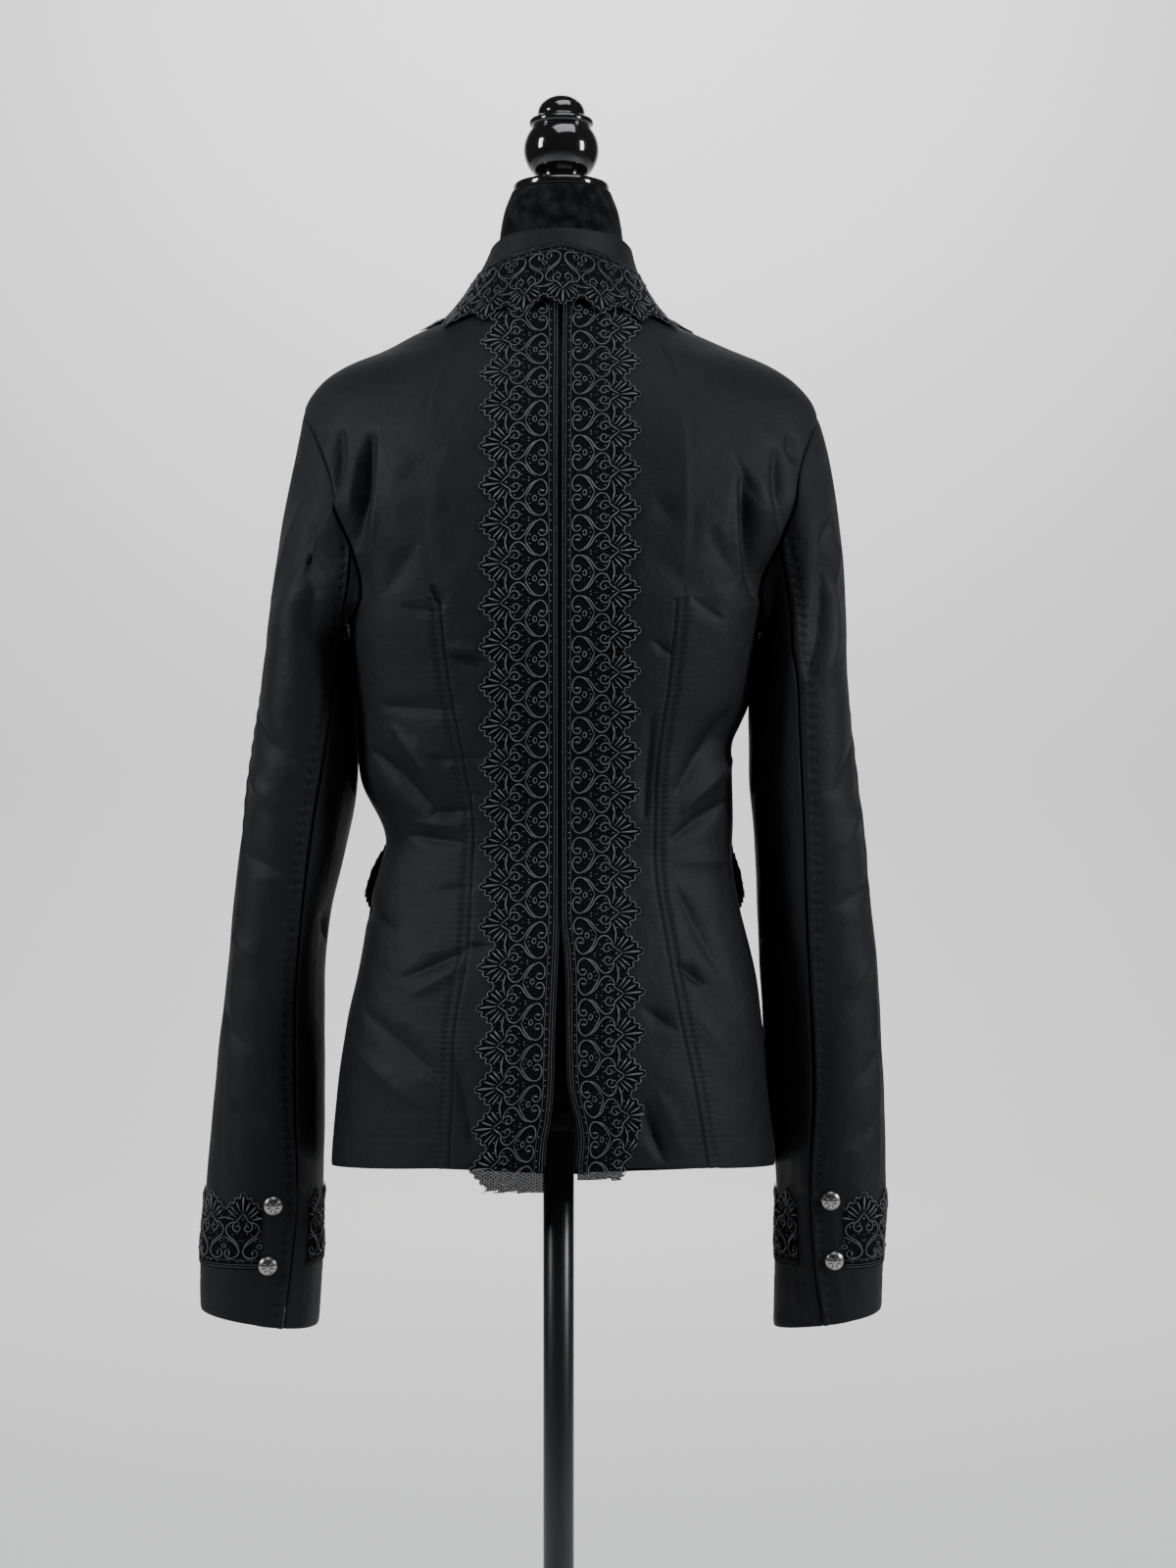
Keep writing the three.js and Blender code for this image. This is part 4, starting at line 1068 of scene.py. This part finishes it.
def trim(thing, gone):
    """Takes away the vertices that are marked as gone."""
    work = bmesh.new()
    work.from_mesh(thing.data)
    work.verts.ensure_lookup_table()
    bmesh.ops.delete(work, geom=[work.verts[int(i)] for i in np.nonzero(gone)[0]], context="VERTS")
    work.to_mesh(thing.data)
    work.free()


FIRST = 585.3  # the lowest palmette's height
EASED, EASE = 19, 3  # each repeat from this one up is eased by so much


def lace_height(along):
    k = along / PITCH - 0.5
    return np.where(k < EASED, FIRST + PITCH * k, FIRST + PITCH * EASED + (PITCH - EASE) * (k - EASED))


def lace_lean(side, along, u):
    """The hearts lie a little above the palmettes on the left strip, and below them on the right."""
    most = mix(5, 6.2, along / 640) if side == "left" else mix(-3.8, -2, along / 640)
    return most * np.clip((54.5 - u) / 42, 0, 1)


def back_lace(side):
    def place(along, u, h):
        z = lace_height(along) + lace_lean(side, along, u)
        foot = read(VENT, side, z) + SIGN[side] * 0.8 - CENTRE
        x = CENTRE + SIGN[side] * u + foot * (1 - 0.35 * ease(u / 50))
        return body(turn_at(x, z), z, 0.35 + h + 2 * ease((z - 1170) / 14))

    return place


def kept(side):
    """Both strips hang below the hem; the right one's outer corner, which is folded under, is cut away."""
    def keep(along, u):
        z = lace_height(along) + lace_lean(side, along, u)
        if side == "left":
            return (z > 570.5) & (z < NECKLINE - 2)
        return (z > 579.5) & (z < NECKLINE - 2) & (u < mix(37, 60, (z - 583) / 66))

    return keep


laces = {}
for side, shift in (("left", -0.955), ("right", -0.545)):
    laces[f"back_{side}"] = lace(f"back_{side}", 24, back_lace(side), keep=kept(side), shift=shift)

# %% [markdown]
# The collar's lace is laid by length along the collar's edge, with a palmette near the centre back. Its
# tips lie down on the shoulders.

# %%
def by_length(points, places):
    """A function from length along the points to the place there, and the whole length."""
    length = running(points, 0)
    return (lambda s: np.interp(s, length, places)), length[-1]


turns = np.linspace(-END, END, 600)
collar_turn, collar_length = by_length(collar_base(turns, np.full(600, 0.86)), turns)
collar_count = 2 * int(collar_length / PITCH / 2) + 1
collar_turns = np.linspace(0, END, 24)
collar_depth = arc(collar_base(collar_turns[None, :], np.linspace(0, 1, 40)[:, None]), 0)


def collar_place(along, u, h):
    share = along / (collar_count * PITCH)
    turn = collar_turn(share * collar_length + 5.2 * (1 - (2 * share - 1) ** 2))
    part = 51 / np.interp(np.abs(turn), collar_turns, collar_depth)
    v = 1 + part * (0.16 - (LACE_WIDTH - u) * 0.0172)
    lie = 1.3 * ease((v - 1) / 0.07) * ease((np.abs(turn) - 55) / 20)
    return collar(turn, v, 0.4 + h - lie)


laces["collar"] = lace("collar", collar_count, collar_place)

# %% [markdown]
# The cuffs' lace stands on its straight edge, and leaves a plain strip beside the buttons. The flaps'
# lace hangs from the waist.

# %%
CUFF_LACE = 503  # the height of its straight edge


def cuff_span(side, upper, row):
    seam = seam_angle(side, row)
    if upper:
        return np.full_like(seam, FRONT_SEAM), mix(FRONT_SEAM, seam, 7.8 / 9)
    return mix(seam, FRONT_SEAM + 360, 1 / 7), np.full_like(seam, FRONT_SEAM + 360)


def cuff_place(side, upper, total):
    def place(along, u, h):
        row = row_at(CUFF_LACE + u)
        start, stop = cuff_span(side, upper, row)
        return sleeve(side, mix(start, stop, along / total), row, 0.4 + h)

    return place


for side in SIGN:
    for upper, label in ((True, "cuff"), (False, "under")):
        row = np.array([row_at(530.0)])
        start, stop = cuff_span(side, upper, row)
        around = sleeve_base(side, np.linspace(start[0], stop[0], 80), np.full(80, row[0]))
        count = max(int(round(arc(around, 0) / PITCH)), 1)
        laces[f"{label}_{side}"] = lace(f"{label}_{side}", count, cuff_place(side, upper, count * PITCH))

for side in SIGN:
    span = np.linspace(*FLAP, 120)
    flap_turn, flap_length = by_length(flap(side, span, np.full(120, 780.0), 0 * span), span)
    count = int(round(flap_length / PITCH))

    def flap_place(along, u, h, side=side, turn=flap_turn, scale=flap_length / count / PITCH):
        return flap(side, turn(along * scale), 762 + LACE_WIDTH - u, 1.9 + h)

    laces[f"flap_{side}"] = lace(f"flap_{side}", count, flap_place, start=14)

# %% [markdown]
# ## Solids of revolution
# Rings of points are closed to a point at both ends.

# %%
def solid(name, rings, look, uv=None):
    rows, columns = rings.shape[:2]
    side = quads(rows, columns, wrap=True)
    ends = rings[[0, -1]].mean(axis=1)
    i = np.arange(columns)
    k = (i + 1) % columns
    last = (rows - 1) * columns
    low = np.stack([k, i, np.full(columns, rows * columns)], -1)
    top = np.stack([i + last, k + last, np.full(columns, rows * columns + 1)], -1)
    faces = np.concatenate([side[:, [0, 1, 2]], side[:, [0, 2, 3]], low, top])
    points = np.concatenate([rings.reshape(-1, 3), ends])
    if uv is not None:
        uv = np.concatenate([uv.reshape(-1, 2), [[0.5, 0], [0.5, 0]]])
    thing = object_from(name, points, faces, uv, sides=3)
    made.append((thing, look, None))
    return thing


def turned(name, profile, look, columns=96, x=0.0):
    r, z = np.array(profile, float).T
    a = np.radians(np.linspace(0, 360, columns, endpoint=False))
    return solid(name, xyz(x + r[:, None] * np.cos(a), r[:, None] * np.sin(a), z[:, None] + 0 * a), look)


def form_rings():
    z = np.concatenate([FORM["height"][:1], np.linspace(614, 1200, 130), np.linspace(1203, 1288.5, 34)])
    a = np.radians(np.linspace(0, 360, 144, endpoint=False))
    z, a = np.meshgrid(z, a, indexing="ij")
    s, c = np.sin(a), np.cos(a)
    row = {key: np.interp(z, FORM["height"], FORM[key]) for key in FORM}
    neck = ease((z - 1200) / 12)
    for key in ("half", "back", "front"):
        row[key] = mix(row[key] - 0.2, read(FORM, key, z), neck)
    r = ring(row["half"], np.where(c > 0, row["back"], row["front"]), row["square"], s, c)
    return xyz(CENTRE + r * s, -r * c, z)


solid("velvet_form", form_rings(), "velvet")
turned("neck_disc", [(32.5, 1288.8), (34.4, 1289.1), (35.1, 1290), (35.3, 1291.2), (35.3, 1293),
                     (34.9, 1294.4), (33.8, 1295.4), (32.4, 1295.8)], "black_wood", x=CENTRE)
ball = [(27.7 * math.cos(a), 1320.4 + 25.5 * math.sin(a)) for a in np.radians(np.linspace(-50, 38, 34))]
turned("turned_finial", [
    (19.6, 1296.1), (20.8, 1296.4), (21.2, 1297.2), (20.6, 1298.4), (18.6, 1299.6), *ball, (20.9, 1336.6),
    (20.6, 1337.1), (21.6, 1337.4), (22.9, 1338.2), (23.6, 1339.4), (23.8, 1340.4), (23.5, 1341.6),
    (22.7, 1342.7), (21.5, 1343.4), (19.6, 1343.9), (18.3, 1344.4), (17.7, 1345.3), (17.6, 1347),
    (17.2, 1349.6), (16, 1352.6), (13.8, 1355.4), (10.8, 1357.9), (7, 1359.6), (3, 1360.3), (0.6, 1360.4)],
    "black_wood", x=CENTRE)
turned("stand_pole", [(10.9, 30.4), (11.35, 30.8), (11.35, 320), (11.35, 611.2), (10.9, 611.6)],
       "black_metal", columns=64)
turned("stand_base", [(148.6, 0), (149.6, 0.5), (150, 1.5), (150, 6), (149.5, 7.4), (148.2, 8.4), (146, 9),
                      (90, 11), (34, 13), (29, 14), (25.5, 16.4), (23, 21), (21.2, 26), (20.4, 28.6),
                      (18.8, 29.8), (17, 30)], "black_metal", columns=160)

# %% [markdown]
# ## Buttons
# A domed button has a plain eight-petal rosette and a beaded rim. Its first map coordinate holds the
# relief, so the recesses stay dark.

# %%
def button(name, point, normal):
    r = np.array([0.78, 0.9, 0.97, 1, 1, 0.98, 0.95, 0.91, 0.87, 0.83, 0.78, 0.7, 0.62, 0.54, 0.46, 0.38, 0.3,
                  0.22, 0.16, 0.11, 0.06])
    z = np.array([0, 0.2, 0.6, 1.1, 1.8, 2.15, 2.3, 2.35, 2.55, 2.85, 3.1, 3.4, 3.62, 3.8, 3.95, 4.06, 4.14,
                  4.2, 4.32, 4.42, 4.46])
    a = np.radians(np.linspace(0, 360, 80, endpoint=False))
    r, a = np.meshgrid(r, a, indexing="ij")
    z = z[:, None] + 0 * a
    petals = np.cos(8 * a) * np.exp(-(((r - 0.5) / 0.2) ** 2)) + 0.6 * np.cos(24 * a) * bump(r - 0.9, 0.05)
    petals = np.where(z > 2.2, petals, 0)
    z = z + 0.13 * petals
    axis = unit(np.asarray(normal, float))
    across = unit(np.cross(axis, [0, 0, 1.0]))
    other = np.cross(axis, across)
    x, y = BUTTON_RADIUS * r * np.cos(a), BUTTON_RADIUS * r * np.sin(a)
    rings = point + x[..., None] * across + y[..., None] * other + z[..., None] * axis
    return solid(name, rings[:, ::-1], "silver", np.stack([0.5 + 0.4 * petals, 0 * z], -1)[:, ::-1])


def cuff_button(name, side, x, height, seat):
    angles = np.arange(20, 130, 0.5)
    rows = np.full(len(angles), float(row_at(height)))
    points = sleeve_base(side, angles, rows)
    best = np.argmin(np.abs(np.abs(points[:, 0]) - x))
    n = normal_of(lambda a, r: sleeve_base(side, a, r), angles, rows, 0.5, 0.05) * SIGN[side]
    return button(name, points[best] + n[best] * seat, n[best])


buttons = {}
for side, n, x, height in (("left", 1, 207, 549.7), ("left", 2, 210.7, 505.7), ("right", 1, 197.5, 553.6),
                           ("right", 2, 200.3, 509.6)):
    buttons[f"button_cuff_{side}_{n}"] = cuff_button(f"silver_button_{side}_{n}", side, x, height, 0.4)
for n, height, seat in ((1, 905.0, -0.05), (2, 815.0, 0.7)):
    x, z = np.array(CENTRE), np.array(height)
    turn = turn_at(x, z, True)
    low, normal = body_base(turn, z), normal_of(body_base, turn, z, 0.5, 0.8)
    buttons[f"button_front_{n}"] = button(f"silver_button_front_{n}", low + normal * seat, normal)

# %% [markdown]
# ## Stitches
# Thread lines run beside the darts and the sleeves' back seams, with bar tacks at the darts' tops.

# %%
threads = []
for side, sign in SIGN.items():
    z = np.linspace(594, 984, 180)
    x = read(DART, side, z) + sign * 6.4
    threads.append(body(turn_at(x, z), z, dart_detail(np.full(len(z), 6.4), z) + 0.1))
    for level in (983.6, 984.4, 985.2):
        x = float(read(DART, side, level)) + sign * np.linspace(-0.6, 7.4, 8)
        z = np.full(8, level)
        threads.append(body(turn_at(x, z), z, 0 * z + 0.25))
    rows = np.linspace(0.3, 16.7, 320)
    angle = seam_angle(side, rows) - 7.2
    threads.append(sleeve(side, angle, rows, 0 * rows + 0.12))

points = np.concatenate(threads) / 1000
edges, count = [], 0
for line in threads:
    edges += [(count + i, count + i + 1) for i in range(len(line) - 1)]
    count += len(line)
paths = bpy.data.meshes.new("threads")
paths.from_pydata(points.tolist(), edges, [])
hold = link("threads", paths)
sewn = stitch_tree().apply(hold, "stitches", Spacing=0.0026, Length=0.002, Radius=0.0002,
                           Material=LOOKS["sateen"])
bpy.data.objects.remove(hold)
stitches = link("stitches", sewn)

# %% [markdown]
# ## Bodies
# Every piece rides on the one body. Each stands for its solid, and that solid is hidden.

# %%
FORMS = {"velvet_form": "form_body", "neck_disc": "neck_cap", "turned_finial": "finial",
         "stand_pole": "pole", "stand_base": "base"}
CLOTH_ON = {"back": "velvet_form", "front": "velvet_form", "lapel": "cloth_front", "sleeve": "cloth_back",
            "collar": "velvet_form", "pocket": "cloth_front"}
LACE_ON = {"back": "cloth_back", "collar": "cloth_collar_fall", "cuff": "cloth_sleeve_upper",
           "under": "cloth_sleeve_under", "flap": "cloth_pocket_flap"}

for thing in MOTIFS.values():
    bpy.data.objects.remove(thing)

for thing, look, flat in made:
    if not thing.data.materials:
        thing.data.materials.append(LOOKS[look])
    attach(thing, "root")
    if thing.name.startswith("cloth_"):
        side = "left" if thing.name.endswith("left") else "right"
        nodes = [thing.name.removeprefix("cloth_")]
        if "sleeve_upper" in thing.name:
            nodes.append(f"sleeve_cap_{side}")
        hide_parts(*nodes)
        rest = CLOTH_ON[thing.name.split("_")[1]]
        rest = rest if rest == "velvet_form" else f"{rest}_{side}"
    if thing.name in FORMS:
        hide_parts(FORMS[thing.name])
for name, (net, cords) in laces.items():
    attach(cords, "root")
    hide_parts(f"lace_{name}")
    size, area = next(flat for thing, _, flat in made if thing == net)
    kind, joint, side = name.partition("_")
    rest = LACE_ON[kind] + joint + side
for node, thing in buttons.items():
    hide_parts(node)
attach(stitches, "root")

# %% [markdown]
# ## Floor, light and camera
# A plain pale sweep stands well behind, under its own light. The garment has a soft box on each side,
# so that its creases read, and a weaker one overhead.

# %%
def sweep():
    across = np.linspace(-4.5, 4.5, 2) * 1000
    a = np.linspace(0, math.pi / 2, 16)
    y = np.concatenate([[-5000], 3900 + 900 * np.sin(a), [4800]])
    z = np.concatenate([[0], 900 * (1 - np.cos(a)), [5200]])
    points = xyz(across[None, :], y[:, None], z[:, None])
    thing = object_from("floor", points, quads(len(y), 2))
    pale = Look("pale_floor", (0.74, 0.735, 0.725), 0.9, Specular_IOR_Level=0.1)
    thing.data.materials.append(pale.material)
    return thing


floor = sweep()
floor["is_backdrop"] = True


def soft_box(name, place, target, size, power, colour=(0.9, 0.94, 1)):
    light = bpy.data.lights.new(name, "AREA")
    light.color = colour
    light.shape, light.size, light.size_y, light.energy = "RECTANGLE", *size, power
    lamp = link(name, light)
    lamp.location = place
    lamp.rotation_euler = (Vector(target) - Vector(place)).to_track_quat("-Z", "Y").to_euler()


soft_box("box_left", (-2.1, -0.95, 1.9), (0, 0, 0.95), (0.45, 1.1), 62)
soft_box("box_right", (2.05, -0.9, 1.55), (0, 0, 0.95), (0.4, 1.0), 54)
soft_box("box_top", (0.2, -0.5, 2.6), (0, 0, 1.0), (1.2, 0.8), 15)
soft_box("box_sweep", (0, 2.6, 3.6), (0, 4.7, 0.9), (3.0, 0.8), 210, (1, 1, 1))
world = bpy.data.worlds.new("studio")
world.use_nodes = True
sky = world.node_tree.nodes["Background"].inputs
sky["Color"].default_value, sky["Strength"].default_value = (0.9, 0.92, 0.95, 1), 0.05
bpy.context.scene.world = world

camera = bpy.data.cameras.new("camera")
camera.lens, camera.sensor_width, camera.sensor_fit = 62.5, 36, "VERTICAL"
camera.sensor_height = 36
view = link("camera", camera)
view.location, view.rotation_euler = (0.0216, -2.0, 0.855), (math.pi / 2, 0, 0)
bpy.context.scene.camera = view

low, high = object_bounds()
